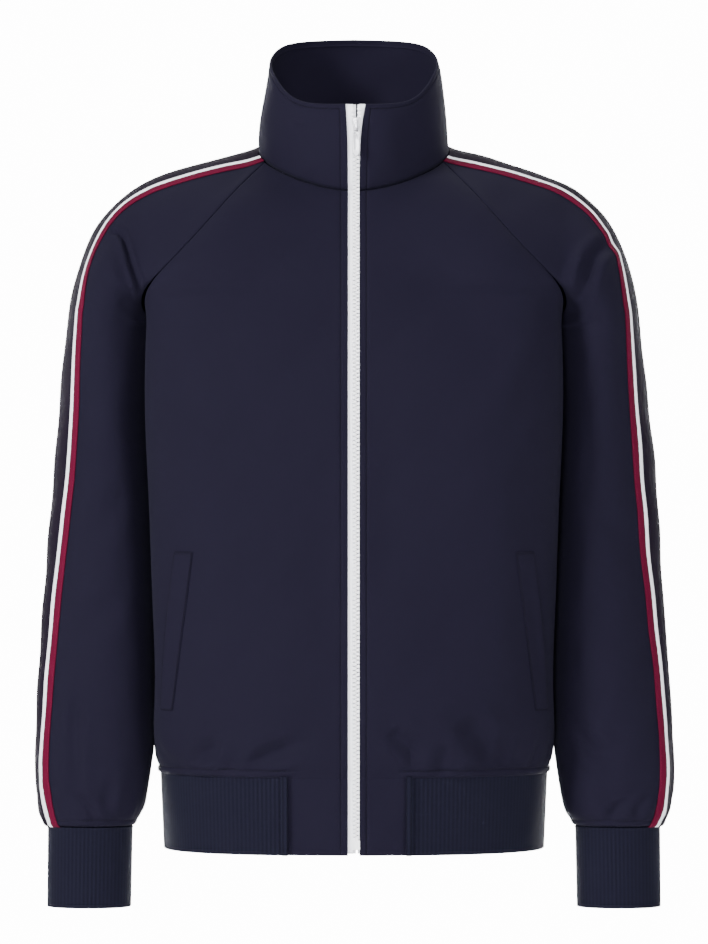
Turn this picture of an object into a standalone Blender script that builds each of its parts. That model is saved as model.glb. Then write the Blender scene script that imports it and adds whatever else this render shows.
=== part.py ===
"""A zip-front track jacket in the form that it has when it is worn, with nobody inside.

The cloth pieces are walls cut as a tailor cuts them: two fronts, a back, raglan sleeves, a stand collar,
a ribbed waistband and cuffs, side tapes, pocket welts and the zip. Each wall is a grid of rows. A row is a
cubic Bezier curve whose ends lie on named seams, so neighbouring pieces meet along the same line.
All sizes are in millimetres and are written to the meshes in metres. X points to the wearer's left,
-Y is the front and the origin is the middle of the neck, level with the tops of the shoulders.
"""

import math

import bmesh
import bpy
import numpy as np

MM = 0.001

# Cloth and gaps
CLOTH = 1.6
RIB_CLOTH = 2.0
TAPE_CLOTH = 1.0
SEAM_GAP = 0.36
RIB_PITCH = 4.1
CUFF_RIB_PITCH = 3.7
RIB_RELIEF = 0.7

# The neckline, an oval that rises from the front neck point to the back of the neck
NECK_HALF_WIDTH = 90.0
NECK_HALF_DEPTH = 70.0
NECK_CENTRE_Y = 5.0
NECK_FRONT_Z = -42.0
NECK_BACK_Z = 22.0
NECK_RISE = 0.68
FRONT_SEAM_ANGLE = math.radians(70)
SHOULDER_ANGLE = math.radians(98)
BACK_SEAM_ANGLE = math.radians(125)

# Raglan seams and shoulder line: x, y and z at each level from below the neckline to the underarm
FRONT_SEAM = (
    (111, -54, -40),
    (131, -70, -63),
    (153, -79, -88),
    (172, -81, -108),
    (186, -77, -123),
    (196, -67, -137),
    (201, -50, -152),
    (203.5, -26, -165),
    (204, 0, -172),
)
BACK_SEAM = (
    (100, 63, -24),
    (123, 81, -52),
    (145, 93, -82),
    (164, 98, -106),
    (178, 97, -125),
    (190, 87, -142),
    (198, 66, -156),
    (203, 32, -167),
    (204, 0, -172),
)
SHOULDER_LINE = (
    (110, 14, -3.5),
    (138, 14, -11),
    (167, 13, -20),
    (194, 12, -30),
    (218, 10, -44),
    (238, 8, -64),
    (252, 6, -88),
    (262, 5, -118),
    (269, 4, -152),
)
FRONT_ROW_DROPS = (42, 62, 80, 97, 111, 124, 136, 148, 160, 172)
BACK_ROW_DROPS = (-22, 5, 32, 58, 82, 104, 124, 142, 158, 172)
# How far each level is folded into the armpit, from a flat seam at 0 to a closed fold at 1
FOLDED_IN = (0, 0, 0, 0, 0, 0.04, 0.35, 0.7, 0.93, 1)
SLEEVE_LEAN = 0.35
SLEEVE_CUT_LIMIT = 0.45

# Centre lines: drop below the origin, and depth in front of it or behind it
FRONT_LINE = ((42, 65), (62, 74), (97, 90), (136, 105), (172, 116), (238, 127), (333, 131), (428, 131),
              (523, 132), (560, 131.4), (578.5, 130), (590.5, 126.5))
BACK_LINE = ((-22, 75), (5, 90), (32, 101), (58, 108), (104, 118), (150, 123), (238, 121), (333, 109),
             (428, 100), (523, 103), (568.5, 107), (590.5, 103))

# Torso below the underarm
TORSO_COLUMNS = ("drop", "half_width", "squareness", "pinch")
TORSO = (
    (172, 204, 0.86, 26),
    (238, 204, 0.83, 17.5),
    (333, 200, 0.79, 12),
    (428, 197, 0.75, 10.5),
    (523, 195, 0.74, 10),
    (568.5, 193, 0.70, 6),
    (590.5, 184.5, 0.66, 0),
)
UNDERARM_DROP = 172.0
WAIST_SEAM_DROP = 590.5
HEM_DROP = 662.0
HEM_TUCK = 5.5
PINCH_SPREAD = 38.0
PINCH_START_DROP = 110.0
PINCH_FULL_DROP = 155.0

# How far the inner control points of the upper rows stand from their ends, as shares of the row's length
CENTRE_HANDLE = 0.36
TORSO_SEAM_HANDLE = 0.26
SLEEVE_SEAM_HANDLE = 0.38
SHOULDER_HANDLE = 0.42

# Sleeve rings below the underarm: inner and outer points, lean of the inner side, reaches of the curves
SLEEVE_COLUMNS = ("drop_in", "x_in", "drop_out", "x_out", "y", "lean", "reach_in", "reach_out")
SLEEVE = (
    (172, 178, 152, 269, 4, 0.35, 114, 80),
    (218, 186, 206, 275, 4, 0.24, 114, 62),
    (285, 189.6, 280, 282, 2, 0.15, 110, 54),
    (360, 189.2, 357, 288.5, -1, 0.10, 103, 52),
    (440, 188, 439, 293.7, -6, 0.06, 93, 53),
    (540, 188, 523, 299.8, -13, 0.04, 80, 54),
    (580, 190.8, 580, 301.5, -19, 0.03, 72, 56),
    (612, 196, 612, 299.2, -22, 0.0, 65, 56),
    (630, 202, 630, 295, -24, 0.0, 56, 52),
    (640, 208.5, 640, 290.3, -25, 0.0, 46, 44),
)
UPPER_REACH_IN = 3.0
UPPER_REACH_OUT = 9.0
WRAP_ROWS = (4.0, 6.5)
UNDERARM_Y = 0.0

# Cuff, its top and bottom edges: drop, inner x, outer x, y, and reach of the curves
CUFF = (
    (640.35, 211, 287.3, -25.5, 42),
    (716, 212.5, 287.8, -28, 40.5),
)

# Waistband, its top and bottom edges: drop, half width, and depths in front and behind
BAND = ((590.85, 181.8, 124.6, 101.5), (662, 178.5, 119.5, 98.5))
BAND_SQUARENESS = 0.66

# Zip, front edges and the plain front ends of the waistband
ZIP_CENTRE_X = 2.0
ZIP_CHAIN_HALF = 2.8
ZIP_TAPE_OUT = 12.0
ZIP_TAPE_CLOTH = 0.8
ZIP_TAPE_GAP = 0.3
FRONT_EDGE = {"left": 5.2, "right": 5.7}
COLLAR_TOP_EDGE = {"left": 11.0, "right": 8.0}
HEM_END_X = {"left": 53.0, "right": 66.0}
HEM_MIDDLE_X = 33.0
HEM_END_COLUMN = 3

# Collar rim: angle round the neck from the front, and height
COLLAR_RIM = ((0, 39), (22, 39.5), (45, 46), (72, 70), (100, 89), (120, 100.5), (140, 106.5), (180, 110))
RIM_HALF_WIDTH = 80.0
RIM_HALF_DEPTH = 67.0
RIM_CENTRE_Y = -5.0
COLLAR_BULGE = 5.0
COLLAR_SIDE_BULGE = 2.5

# Side tape: its width, and how far it reaches in front of the shoulder line at each row of the sleeve,
# measured round the sleeve
TAPE_WIDTH = 62.0
TAPE_EDGE = ((0, 37), (0.5, 42.5), (1, 47), (1.5, 49), (2, 49), (3, 47), (4, 46), (5, 48), (6, 56), (7, 63.5),
             (8, 65.5), (9, 63.5), (10, 58.5), (11, 55), (12, 49.5), (13, 42.5), (14, 37), (15, 35.5), (16, 34.5),
             (17, 33), (18, 31))

# Pocket welts on the fronts: ends of the inner edge, and the welt's width
WELT_TOP = (150.0, -380.0)
WELT_BOTTOM = (169.0, -529.0)
WELT_WIDTH = 21.0

# Largest folds: x and z of both ends in the front or back view, width, and depth. A fold gets shallower
# from its first end to its second, and fades out near the seam below it.
FOLD_FADE = 24.0
FOLD_TAPER = 0.6
FOLD_TURN = 8.0
TORSO_FOLDS = (
    ((150, -585, 122, -545, 20, 5), (95, -588, 60, -560, 18, 3.5)),
    ((180, -165, 140, -250, 20, 4.5), (70, -585, 55, -530, 20, 4.5), (130, -585, 120, -520, 20, 4)),
)
SLEEVE_FOLDS = (
    ((205, -152, 228, -88, 13, 5.5), (238, -626, 246, -560, 14, 4), (262, -628, 272, -572, 13, 3),
     (210, -245, 232, -330, 20, 3.5)),
    ((232, -626, 240, -560, 14, 4), (265, -625, 268, -570, 13, 3), (215, -250, 245, -340, 22, 4)),
)

# Depth of the chain's front and back behind the cloth's face
CHAIN_DEPTH = (0.4, 3.0)

# Slider and pull. Places along the slider are measured up from its middle. SHIELD gives its shape as shares
# of its half length, up from its middle, and of its half width.
SLIDER_Z = (13.5, 26.5)
SLIDER_HALF_WIDTH = 4.2
SHIELD = ((1, 1.0), (0.2, 0.92), (-1, 0.7))
SLIDER_DEPTH = 2.4
SLIDER_GAP = 0.3
BRIDGE_ENDS = (-5.0, 3.0)
BRIDGE_WALL = 1.5
BRIDGE_HALF_WIDTH = 1.1
BRIDGE_HOLE = 3.0
BRIDGE_BAR = 1.2
BRIDGE_ROOT = 0.6
PULL_THICKNESS = 1.4
PULL_HALF_WIDTH = 3.5
PULL_LENGTH = 28.0
PULL_SLOT_HALF = 2.2
PULL_SLOT_LENGTH = 7.6
PULL_PLAY = 0.5
# The pull's edge below its slot: share of its length, and share of its half width
PULL_EDGE = ((0.8, 1.15), (0.95, 1.15), (1, 0.8))

# Rows and cells of the walls
UNDERARM_ROW = 9
WAIST_ROW = 18
HEM_ROW = 20
PANEL_ROWS = (0, 1, 2, 3, 4, 5, 6, 7, 8, 9, 9.6, 10.3, 11, 12, 13, 14, 15, 15.7, 16.4, 17, 17.5, 18)
HEM_ROWS = (19, 20)
SLEEVE_ROWS = (0, 1, 2, 3, 4, 5, 6, 7, 8, 9, 9.6, 10.3, 11, 12, 13, 14, 14.7, 15.3, 16, 16.6, 17.2, 18)
FRONT_CELLS = 9
BACK_CELLS = 12
SLEEVE_CELLS = 8
TAPE_CELLS = 5
COLLAR_CELLS = 5
COLLAR_COLUMNS = (0, 0.035, 0.1, 0.175, 0.25, 0.325, 0.4, 0.475, 0.55, 0.625, 0.7, 0.775, 0.85, 0.925, 1)
TAPE_LIFT = 0.3
WELT_LIFT = 0.45
WELT_CLOTH = 1.0
WELT_CELLS = 8
WELT_COLUMNS = 4

# Points along a curve whose length or crossing is measured
FINE = 401
COLOURS = {
    "navy": ((0.022, 0.022, 0.045), 0.85, 0.0),
    "navy_rib": ((0.020, 0.021, 0.043), 0.9, 0.0),
    "tape": ((0.30, 0.02, 0.05), 0.7, 0.0),
    "zip_white": ((0.82, 0.82, 0.88), 0.5, 0.0),
    "zip_metal": ((0.75, 0.75, 0.78), 0.3, 1.0),
}


def unit(vectors):
    """Vectors scaled to length 1."""
    return vectors / np.linalg.norm(vectors, axis=-1, keepdims=True)


def spline(knots, values, at):
    """A natural cubic curve through values at rising knots, read at the places in at."""
    knots, values, at = (np.asarray(a, float) for a in (knots, values, at))
    gap, last = np.diff(knots), len(knots) - 1
    system, slope_change = np.eye(len(knots)), np.zeros_like(values)
    for i in range(1, last):
        system[i, i - 1:i + 2] = gap[i - 1], 2 * (gap[i - 1] + gap[i]), gap[i]
        ahead, behind = (values[i + 1] - values[i]) / gap[i], (values[i] - values[i - 1]) / gap[i - 1]
        slope_change[i] = 6 * (ahead - behind)
    bend = np.linalg.solve(system, slope_change)
    i = np.clip(np.searchsorted(knots, at, side="right") - 1, 0, last - 1)
    shape = i.shape + (1,) * (values.ndim - 1)
    h, a, b = (x.reshape(shape) for x in (gap[i], knots[i + 1] - at, at - knots[i]))
    curved = (bend[i] * a**3 + bend[i + 1] * b**3) / (6 * h)
    return curved + (values[i] / h - bend[i] * h / 6) * a + (values[i + 1] / h - bend[i + 1] * h / 6) * b


def read(table, columns, name, at):
    """One named column of a table whose first column rises, read at the places in at."""
    rows = np.array(table, float)
    return spline(rows[:, 0], rows[:, columns.index(name)], at)


def bezier(p0, p1, p2, p3, t):
    """Rows of cubic Bezier curves: one row for each set of points, one column for each t."""
    p0, p1, p2, p3 = (p[:, None, :] for p in (p0, p1, p2, p3))
    t = np.atleast_2d(t)[..., None]
    return (1 - t)**3 * p0 + 3 * (1 - t)**2 * t * p1 + 3 * (1 - t) * t**2 * p2 + t**3 * p3


def neckline(angle):
    """The neck seam at an angle round the neck, from 0 at the front to pi at the back."""
    share = ((1 - np.cos(angle)) / 2)**NECK_RISE
    return np.stack([NECK_HALF_WIDTH * np.sin(angle), NECK_CENTRE_Y - NECK_HALF_DEPTH * np.cos(angle),
                     NECK_FRONT_Z + (NECK_BACK_Z - NECK_FRONT_Z) * share], axis=-1)


def neck_direction(angle):
    """The direction in which the neckline runs at an angle, towards the back."""
    step = 1e-4
    return unit(neckline(np.array(angle + step)) - neckline(np.array(angle - step)))


def seam_points(table, angle):
    """A seam's table with its point on the neckline put first."""
    return np.vstack([neckline(np.array(angle)), np.array(table, float)])


def centre_points(line, drops, sign):
    """Points of a centre line at each drop, in front of the origin if sign is -1."""
    drops = np.array(drops, float)
    depths = read(line, ("drop", "depth"), "depth", drops)
    return np.stack([0 * drops, sign * depths, -drops], axis=-1)


def crossing(centre, seam, top, neck):
    """The direction in which each row crosses its seam, halfway between its two stretches."""
    across = unit(unit(seam - centre) + unit(top - seam))
    across[0] = neck
    return across


LEVELS = np.arange(10)
FRONT_POINTS = seam_points(FRONT_SEAM, FRONT_SEAM_ANGLE)
BACK_POINTS = seam_points(BACK_SEAM, BACK_SEAM_ANGLE)
TOP_POINTS = seam_points(SHOULDER_LINE, SHOULDER_ANGLE)
FRONT_CENTRE = centre_points(FRONT_LINE, FRONT_ROW_DROPS, -1)
BACK_CENTRE = centre_points(BACK_LINE, BACK_ROW_DROPS, 1)
FRONT_ACROSS = crossing(FRONT_CENTRE, FRONT_POINTS, TOP_POINTS, neck_direction(FRONT_SEAM_ANGLE))
BACK_ACROSS = crossing(BACK_CENTRE, BACK_POINTS, TOP_POINTS, -neck_direction(BACK_SEAM_ANGLE))
TOP_ACROSS = np.tile([0.0, 1.0, 0.0], (10, 1))
TOP_ACROSS[0] = neck_direction(SHOULDER_ANGLE)
TOP_ACROSS[1] = unit(TOP_ACROSS[0] + 2 * TOP_ACROSS[2])


def pinched(points):
    """Points of the torso moved in where the arm presses on its side."""
    drop = -points[..., 2]
    deep = np.clip(read(TORSO, TORSO_COLUMNS, "pinch", np.clip(drop, UNDERARM_DROP, WAIST_SEAM_DROP)), 0, None)
    ramp = np.clip((drop - PINCH_START_DROP) / (PINCH_FULL_DROP - PINCH_START_DROP), 0, 1)
    near = np.exp(-(points[..., 1] / PINCH_SPREAD)**2)
    moved = points.copy()
    moved[..., 0] -= deep * ramp**2 * (3 - 2 * ramp) * near
    return moved


def wrap_share(rows):
    """How much a row follows the whole body or arm, from 0 at the upper chest to 1 near the underarm."""
    ramp = np.clip((rows - WRAP_ROWS[0]) / (WRAP_ROWS[1] - WRAP_ROWS[0]), 0, 1)
    return (ramp**2 * (3 - 2 * ramp))[:, None]


def blend(a, b, share):
    """From a, where share is 0, to b, where it is 1."""
    return a + (b - a) * share


def torso_handles(centre, seam, sign):
    """Inner control points of rows that are cut from a whole quarter of the torso at their seam."""
    square, fine = TORSO[0][2], np.linspace(0, 1, FINE)
    depths = bezier(*(np.array([[y]]) for y in (1, 1, square, 0)), fine)[0, :, 0]
    widths = bezier(*(np.array([[x]]) for x in (0, square, 1, 1)), fine)[0, :, 0]
    deep = np.abs(centre[:, 1])
    cut = np.interp(-np.abs(seam[:, 1]) / deep, -depths, fine)
    wide = seam[:, 0] / np.clip(np.interp(cut, fine, widths), 0.1, 1)
    zero = 0 * deep
    q0, q1, q2 = (np.stack([x, sign * y, zero], axis=1) for x, y in (
        (zero, deep), (square * wide, deep), (wide, square * deep)))
    cut = cut[:, None]
    first, second = blend(q0, q1, cut), blend(blend(q0, q1, cut), blend(q1, q2, cut), cut)
    first[:, 2] = blend(centre[:, 2], seam[:, 2], 1 / 3)
    second[:, 2] = blend(centre[:, 2], seam[:, 2], 2 / 3)
    return first, second


def torso_rows(rows, t, front):
    """Points of the front (or back) of the torso. t runs from the centre line, at 0, to the seam, at 1."""
    sign = -1 if front else 1
    centre, seam, across = ((FRONT_CENTRE, FRONT_POINTS, FRONT_ACROSS) if front
                            else (BACK_CENTRE, BACK_POINTS, BACK_ACROSS))
    rows = np.asarray(rows, float)
    upper = np.clip(rows, 0, UNDERARM_ROW)
    p0, p3 = spline(LEVELS, centre, upper), spline(LEVELS, seam, upper)
    chord = np.linalg.norm(p3 - p0, axis=1, keepdims=True)
    share = wrap_share(upper)
    p1, p2 = torso_handles(p0, p3, sign)
    p1 = blend(p0 + np.array([1, 0, 0]) * CENTRE_HANDLE * chord, p1, share)
    p2 = blend(p3 - unit(spline(LEVELS, across, upper)) * TORSO_SEAM_HANDLE * chord, p2, share)
    low = np.clip((rows - UNDERARM_ROW) / (WAIST_ROW - UNDERARM_ROW), 0, 1)
    drop = UNDERARM_DROP + low * (WAIST_SEAM_DROP - UNDERARM_DROP)
    wide, square = (read(TORSO, TORSO_COLUMNS, name, drop) for name in ("half_width", "squareness"))
    deep = sign * read(FRONT_LINE if front else BACK_LINE, ("drop", "depth"), "depth", drop)
    zero = 0 * drop
    lower = [np.stack(point, axis=-1) for point in (
        (zero, deep, -drop), (square * wide, deep, -drop), (wide, square * deep, -drop), (wide, zero, -drop))]
    is_low = (rows > UNDERARM_ROW)[:, None]
    points = pinched(bezier(*(np.where(is_low, b, a) for a, b in zip((p0, p1, p2, p3), lower)), t))
    below = np.clip((rows - WAIST_ROW) / (HEM_ROW - WAIST_ROW), 0, 1)[:, None]
    points[..., 2] -= below * (HEM_DROP - WAIST_SEAM_DROP)
    points[..., 1] -= sign * below * HEM_TUCK
    return points


def sleeve_handles(start, top, sign, reach_in, reach_out):
    """Inner control points of rows that are cut from half of a whole ring of the sleeve at their seam."""
    lean = np.array([SLEEVE_LEAN, sign * math.sqrt(1 - SLEEVE_LEAN**2), 0])
    fine = np.linspace(0, SLEEVE_CUT_LIMIT, FINE)
    q1, q2 = lean * reach_in, top + np.array([0, sign, 0]) * reach_out
    depth = np.maximum.accumulate(sign * bezier(0 * top, q1, q2, top, fine)[..., 1], axis=1)
    cut = np.array([np.interp(sign * y, line, fine) for y, line in zip(start[:, 1], depth)])[:, None]
    outer = 3 * (1 - cut) * cut**2 + cut**3
    inner = 3 * (1 - cut)**2 * cut
    root = (start[:, :1] - outer * top[:, :1] - inner * q1[:, :1]) / (1 - outer)
    q0 = np.concatenate([root, 0 * root, 0 * root], axis=1)
    q1 = q0 + q1
    middle = blend(q1, q2, cut)
    leave = blend(middle, blend(q2, top, cut), cut)
    at = blend(blend(blend(q0, q1, cut), middle, cut), leave, cut)
    run = leave - at
    run[:, 2] = 0
    last = blend(q2, top, cut)
    last[:, 2] = top[:, 2]
    return start + run, last


def sleeve_rows(rows, t):
    """Points of the sleeve. t runs from the front or inner seam, at -1, over the shoulder line, at 0, to 1."""
    rows, t = np.asarray(rows, float), np.asarray(t, float)
    upper = np.clip(rows, 0, UNDERARM_ROW)
    ring = np.clip(rows, UNDERARM_ROW, WAIST_ROW)
    levels = np.arange(UNDERARM_ROW, WAIST_ROW + 1)
    rings = {name: spline(levels, column, ring)
             for name, column in zip(SLEEVE_COLUMNS, np.array(SLEEVE, float).T)}
    out = np.array([(r[3], r[4], -r[2]) for r in SLEEVE[1:]])
    top = spline(np.arange(WAIST_ROW + 1), np.vstack([TOP_POINTS, out]), rows)
    inner_y = rings["y"] + (UNDERARM_Y - SLEEVE[0][4]) * np.clip(1 - (ring - UNDERARM_ROW) / 3, 0, 1)
    inner = np.stack([rings["x_in"], inner_y, -rings["drop_in"]], axis=-1)
    share = wrap_share(upper)
    is_ring = (rows > UNDERARM_ROW)[:, None]
    over = unit(spline(LEVELS, TOP_ACROSS, upper))
    above = UNDERARM_ROW - upper
    reach_in = (rings["reach_in"] + UPPER_REACH_IN * above)[:, None]
    reach_out = (rings["reach_out"] + UPPER_REACH_OUT * above)[:, None]
    t = np.atleast_2d(t)
    halves = []
    for sign, seam, across in ((-1, FRONT_POINTS, FRONT_ACROSS), (1, BACK_POINTS, BACK_ACROSS)):
        edge = spline(LEVELS, seam, upper)
        start = np.where(is_ring, inner, pinched(edge))
        chord = np.linalg.norm(top - start, axis=1, keepdims=True)
        wrap1, wrap2 = sleeve_handles(start, top, sign, reach_in, reach_out)
        p1 = blend(start + unit(spline(LEVELS, across, upper)) * SLEEVE_SEAM_HANDLE * chord, wrap1, share)
        p2 = blend(top + sign * over * SHOULDER_HANDLE * chord, wrap2, share)
        lean = rings["lean"]
        along = np.stack([lean, sign * np.sqrt(1 - lean**2), 0 * lean], axis=-1)
        p1 = np.where(is_ring, start + along * reach_in, p1)
        p2 = np.where(is_ring, top + np.array([0, sign, 0]) * reach_out, p2)
        halves.append(bezier(start, p1, p2, top, 1 - np.abs(t)))
    return np.where(t[..., None] < 0, *halves)


def folds_at(points, tables, end_drop):
    """How far the largest folds push in each point of the cloth. They fade out at the seam at end_drop."""
    depth = np.zeros(points.shape[:-1])
    place = np.stack([np.abs(points[..., 0]), points[..., 2]], axis=-1)
    for table, facing in zip(tables, (-1, 1)):
        side = 1 / (1 + np.exp(-facing * points[..., 1] / FOLD_TURN))
        for x0, z0, x1, z1, width, deep in table:
            start, run = np.array([x0, z0]), np.array([x1 - x0, z1 - z0])
            along = np.clip((place - start) @ run / (run @ run), 0, 1)
            away = np.linalg.norm(place - start - along[..., None] * run, axis=-1)
            depth += side * deep * np.exp(-(away / width)**2) * (1 - FOLD_TAPER * along)
    ramp = np.clip((points[..., 2] + end_drop) / FOLD_FADE, 0, 1)
    return depth * ramp**2 * (3 - 2 * ramp)


def outward(surface, rows, t, flip):
    """Normals of a surface function at each row and t, by small steps."""
    step = 1e-3
    rows, t = np.asarray(rows, float), np.asarray(t, float)
    low, high = rows.min(), rows.max()
    down = surface(np.clip(rows + step, low, high), t) - surface(np.clip(rows - step, low, high), t)
    ahead = surface(rows, np.clip(t + step, t.min(), t.max()))
    across = ahead - surface(rows, np.clip(t - step, t.min(), t.max()))
    return flip * unit(np.cross(across, down))


def add_object(name, points, faces, colour, origin=(0, 0, 0)):
    """A closed mesh as an object in a collection of its own name. Points are in millimetres from origin."""
    work = bmesh.new()
    corners = [work.verts.new(point) for point in (np.asarray(points, float) * MM).tolist()]
    for face in faces:
        work.faces.new([corners[v] for v in face])
    bmesh.ops.recalc_face_normals(work, faces=work.faces)
    mesh = bpy.data.meshes.new(name)
    work.to_mesh(mesh)
    work.free()
    mesh.materials.append(material(name, colour))
    mesh.shade_smooth()
    mesh.set_sharp_from_angle(angle=math.radians(40))
    obj = bpy.data.objects.new(name, mesh)
    obj.location = np.asarray(origin, float) * MM
    group = bpy.data.collections.new(name)
    bpy.context.scene.collection.children.link(group)
    group.objects.link(obj)
    return obj


def material(name, look):
    """A sub-part's own Principled material."""
    colour, rough, metal = COLOURS[look]
    made = bpy.data.materials.new(name)
    made.use_nodes = True
    shader = made.node_tree.nodes["Principled BSDF"]
    shader.inputs["Base Color"].default_value = (*colour, 1)
    shader.inputs["Roughness"].default_value = rough
    shader.inputs["Metallic"].default_value = metal
    return made


def split_cell(loop, corners):
    """A cell's two triangles, with the shorter of its diagonals between them."""
    first, second = np.linalg.norm(corners[0] - corners[2]), np.linalg.norm(corners[1] - corners[3])
    a, b, c, d = loop
    return [[a, b, c], [a, c, d]] if first <= second else [[b, c, d], [b, d, a]]


def wall(name, outer, inner, colour, keep=None, closed_from=None, origin=(0, 0, 0), base=None):
    """A closed wall between two matching grids. From row closed_from on, each row is a closed ring.

    base is the grid that decides how cells are split, so that a wall matches the one that it lies on.
    """
    base = outer if base is None else base
    rows, columns = outer.shape[:2]
    index = np.arange(rows * columns).reshape(rows, columns)
    if closed_from is not None:
        index[closed_from:, -1] = index[closed_from:, 0]
    faces, edges = [], set()
    for r in range(rows - 1):
        for c in range(columns - 1):
            if keep is None or keep(r, c):
                places = ((r, c), (r, c + 1), (r + 1, c + 1), (r + 1, c))
                loop = [int(index[place]) for place in places]
                faces += split_cell(loop, [base[place] for place in places])
                edges.update(zip(loop, loop[1:] + loop[:1]))
    total = rows * columns
    back = [[v + total for v in reversed(loop)] for loop in faces]
    rim = [[b, a, a + total, b + total] for a, b in sorted(edges) if (b, a) not in edges]
    points = np.concatenate([outer.reshape(-1, 3), inner.reshape(-1, 3)])
    used = sorted({v for loop in faces + back for v in loop})
    place = {v: i for i, v in enumerate(used)}
    faces = [[place[v] for v in loop] for loop in faces + back + rim]
    return add_object(name, points[used], faces, colour, origin)


def mirrored(points):
    """Points of the other side of the jacket."""
    return points * np.array([-1.0, 1.0, 1.0])


def t_at_x(rows, x):
    """Where each row of the front reaches the distance x from the centre line."""
    fine = np.linspace(0, 1, FINE)
    across = torso_rows(rows, fine, True)[..., 0]
    return np.array([np.interp(x, line, fine) for line in across])


def t_at_reach(rows, reach):
    """Where each row of the sleeve is at its reach from the shoulder line. All are in front of it if negative."""
    fine = np.linspace(0, 1, FINE)
    side = math.copysign(1, reach[0])
    half = sleeve_rows(rows, side * (fine + 1e-9))
    steps = np.linalg.norm(np.diff(half, axis=1), axis=2)
    length = np.hstack([np.zeros((len(steps), 1)), np.cumsum(steps, axis=1)])
    return side * np.array([np.interp(abs(x), line, fine) for x, line in zip(reach, length)])


def towards_sleeve(rows, across):
    """The direction over the seam from the torso to the sleeve, at each row down to the underarm."""
    upper = np.clip(rows, 0, UNDERARM_ROW)
    folded = spline(LEVELS, FOLDED_IN, upper)[:, None]
    return unit((1 - folded) * spline(LEVELS, across, upper) + folded * np.array([1.0, 0, 0]))


def torso_edge_shift(rows, sign, across):
    """How far the torso's edge stands back from the middle of the raglan seam or of the side seam."""
    at_sleeve = (rows <= UNDERARM_ROW)[:, None] * -towards_sleeve(rows, across)
    at_side = (rows >= UNDERARM_ROW)[:, None] * np.array([0, sign, 0])
    return (at_sleeve + at_side) * SEAM_GAP / 2


def sleeve_edge_shift(rows, across):
    """How far the sleeve's edge stands out from the middle of the raglan seam."""
    return (rows <= UNDERARM_ROW)[:, None] * towards_sleeve(rows, across) * SEAM_GAP / 2


def front_grid(side):
    """Outer points and normals of a front, from the zip edge to the seams and from the neck to the hem."""
    rows = np.array(PANEL_ROWS + HEM_ROWS)
    edges = [t_at_x(rows, x) for x in (FRONT_EDGE[side], ZIP_TAPE_OUT + 1, HEM_MIDDLE_X, HEM_END_X[side])]
    rest = [edges[-1] + (1 - edges[-1]) * share for share in np.linspace(0, 1, FRONT_CELLS + 1)[1:]]
    t = np.stack(edges + rest, axis=1)
    points, normals = torso_rows(rows, t, True), outward(lambda r, s: torso_rows(r, s, True), rows, t, -1)
    points = points - normals * folds_at(points, TORSO_FOLDS, WAIST_SEAM_DROP)[..., None]
    points[:, -1] += torso_edge_shift(rows, -1, FRONT_ACROSS)
    return rows, points, normals


def make_front(side, flip):
    """A front, with its plain end beside the zip that runs down to the hem."""
    rows, points, normals = front_grid(side)
    is_body = rows[:-1] < WAIST_ROW
    wall("front_" + side, flip(points), flip(points - normals * CLOTH), "navy",
         keep=lambda r, c: is_body[r] or c < HEM_END_COLUMN)


def back_grid():
    """Outer points and normals of the back, from one side to the other."""
    rows = np.array(PANEL_ROWS)
    t = np.linspace(0, 1, BACK_CELLS + 1)
    points, normals = torso_rows(rows, t, False), outward(lambda r, s: torso_rows(r, s, False), rows, t, 1)
    points = points - normals * folds_at(points, TORSO_FOLDS, WAIST_SEAM_DROP)[..., None]
    points[:, -1] += torso_edge_shift(rows, 1, BACK_ACROSS)
    left = np.concatenate([mirrored(points[:, :0:-1]), points], axis=1)
    return left, np.concatenate([mirrored(normals[:, :0:-1]), normals], axis=1)


def sleeve_grid():
    """Outer points and normals of the left sleeve, and the first row that is a closed ring."""
    rows = np.array(SLEEVE_ROWS)
    reach = read(TAPE_EDGE, ("row", "reach"), "reach", rows)
    front, back = t_at_reach(rows, -reach), t_at_reach(rows, TAPE_WIDTH - reach)
    shares = [np.linspace(0, 1, count + 1)[:, None] for count in (SLEEVE_CELLS, TAPE_CELLS, SLEEVE_CELLS)]
    t = np.concatenate([(-1 + shares[0] * (front + 1))[:-1], (front + shares[1] * (back - front))[:-1],
                        back + shares[2] * (1 - back)]).T
    points, normals = sleeve_rows(rows, t), outward(sleeve_rows, rows, t, -1)
    points = points - normals * folds_at(points, SLEEVE_FOLDS, SLEEVE[-1][0])[..., None]
    points[:, 0] += sleeve_edge_shift(rows, FRONT_ACROSS)
    points[:, -1] += sleeve_edge_shift(rows, BACK_ACROSS)
    ring = rows >= UNDERARM_ROW
    for grid in (points, normals):
        grid[ring, 0] = grid[ring, -1] = (grid[ring, 0] + grid[ring, -1]) / 2
    normals[ring] = unit(normals[ring])
    return points, normals, int(np.argmax(ring))


def make_sleeve(side, flip):
    """A sleeve, and the tape that is sewn on it from the neck to the cuff."""
    points, normals, first_ring = sleeve_grid()
    wall("sleeve_" + side, flip(points), flip(points - normals * CLOTH), "navy", closed_from=first_ring)
    tape = slice(SLEEVE_CELLS, SLEEVE_CELLS + TAPE_CELLS + 1)
    under, lift = points[:, tape], normals[:, tape]
    base = under.copy()
    base[0] += unit(base[1] - base[0]) * SEAM_GAP
    base[-1] += unit(base[-2] - base[-1]) * SEAM_GAP
    wall("sleeve_tape_" + side, flip(base + lift * (TAPE_LIFT + TAPE_CLOTH)), flip(base + lift * TAPE_LIFT),
         "tape", base=under)


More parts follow.
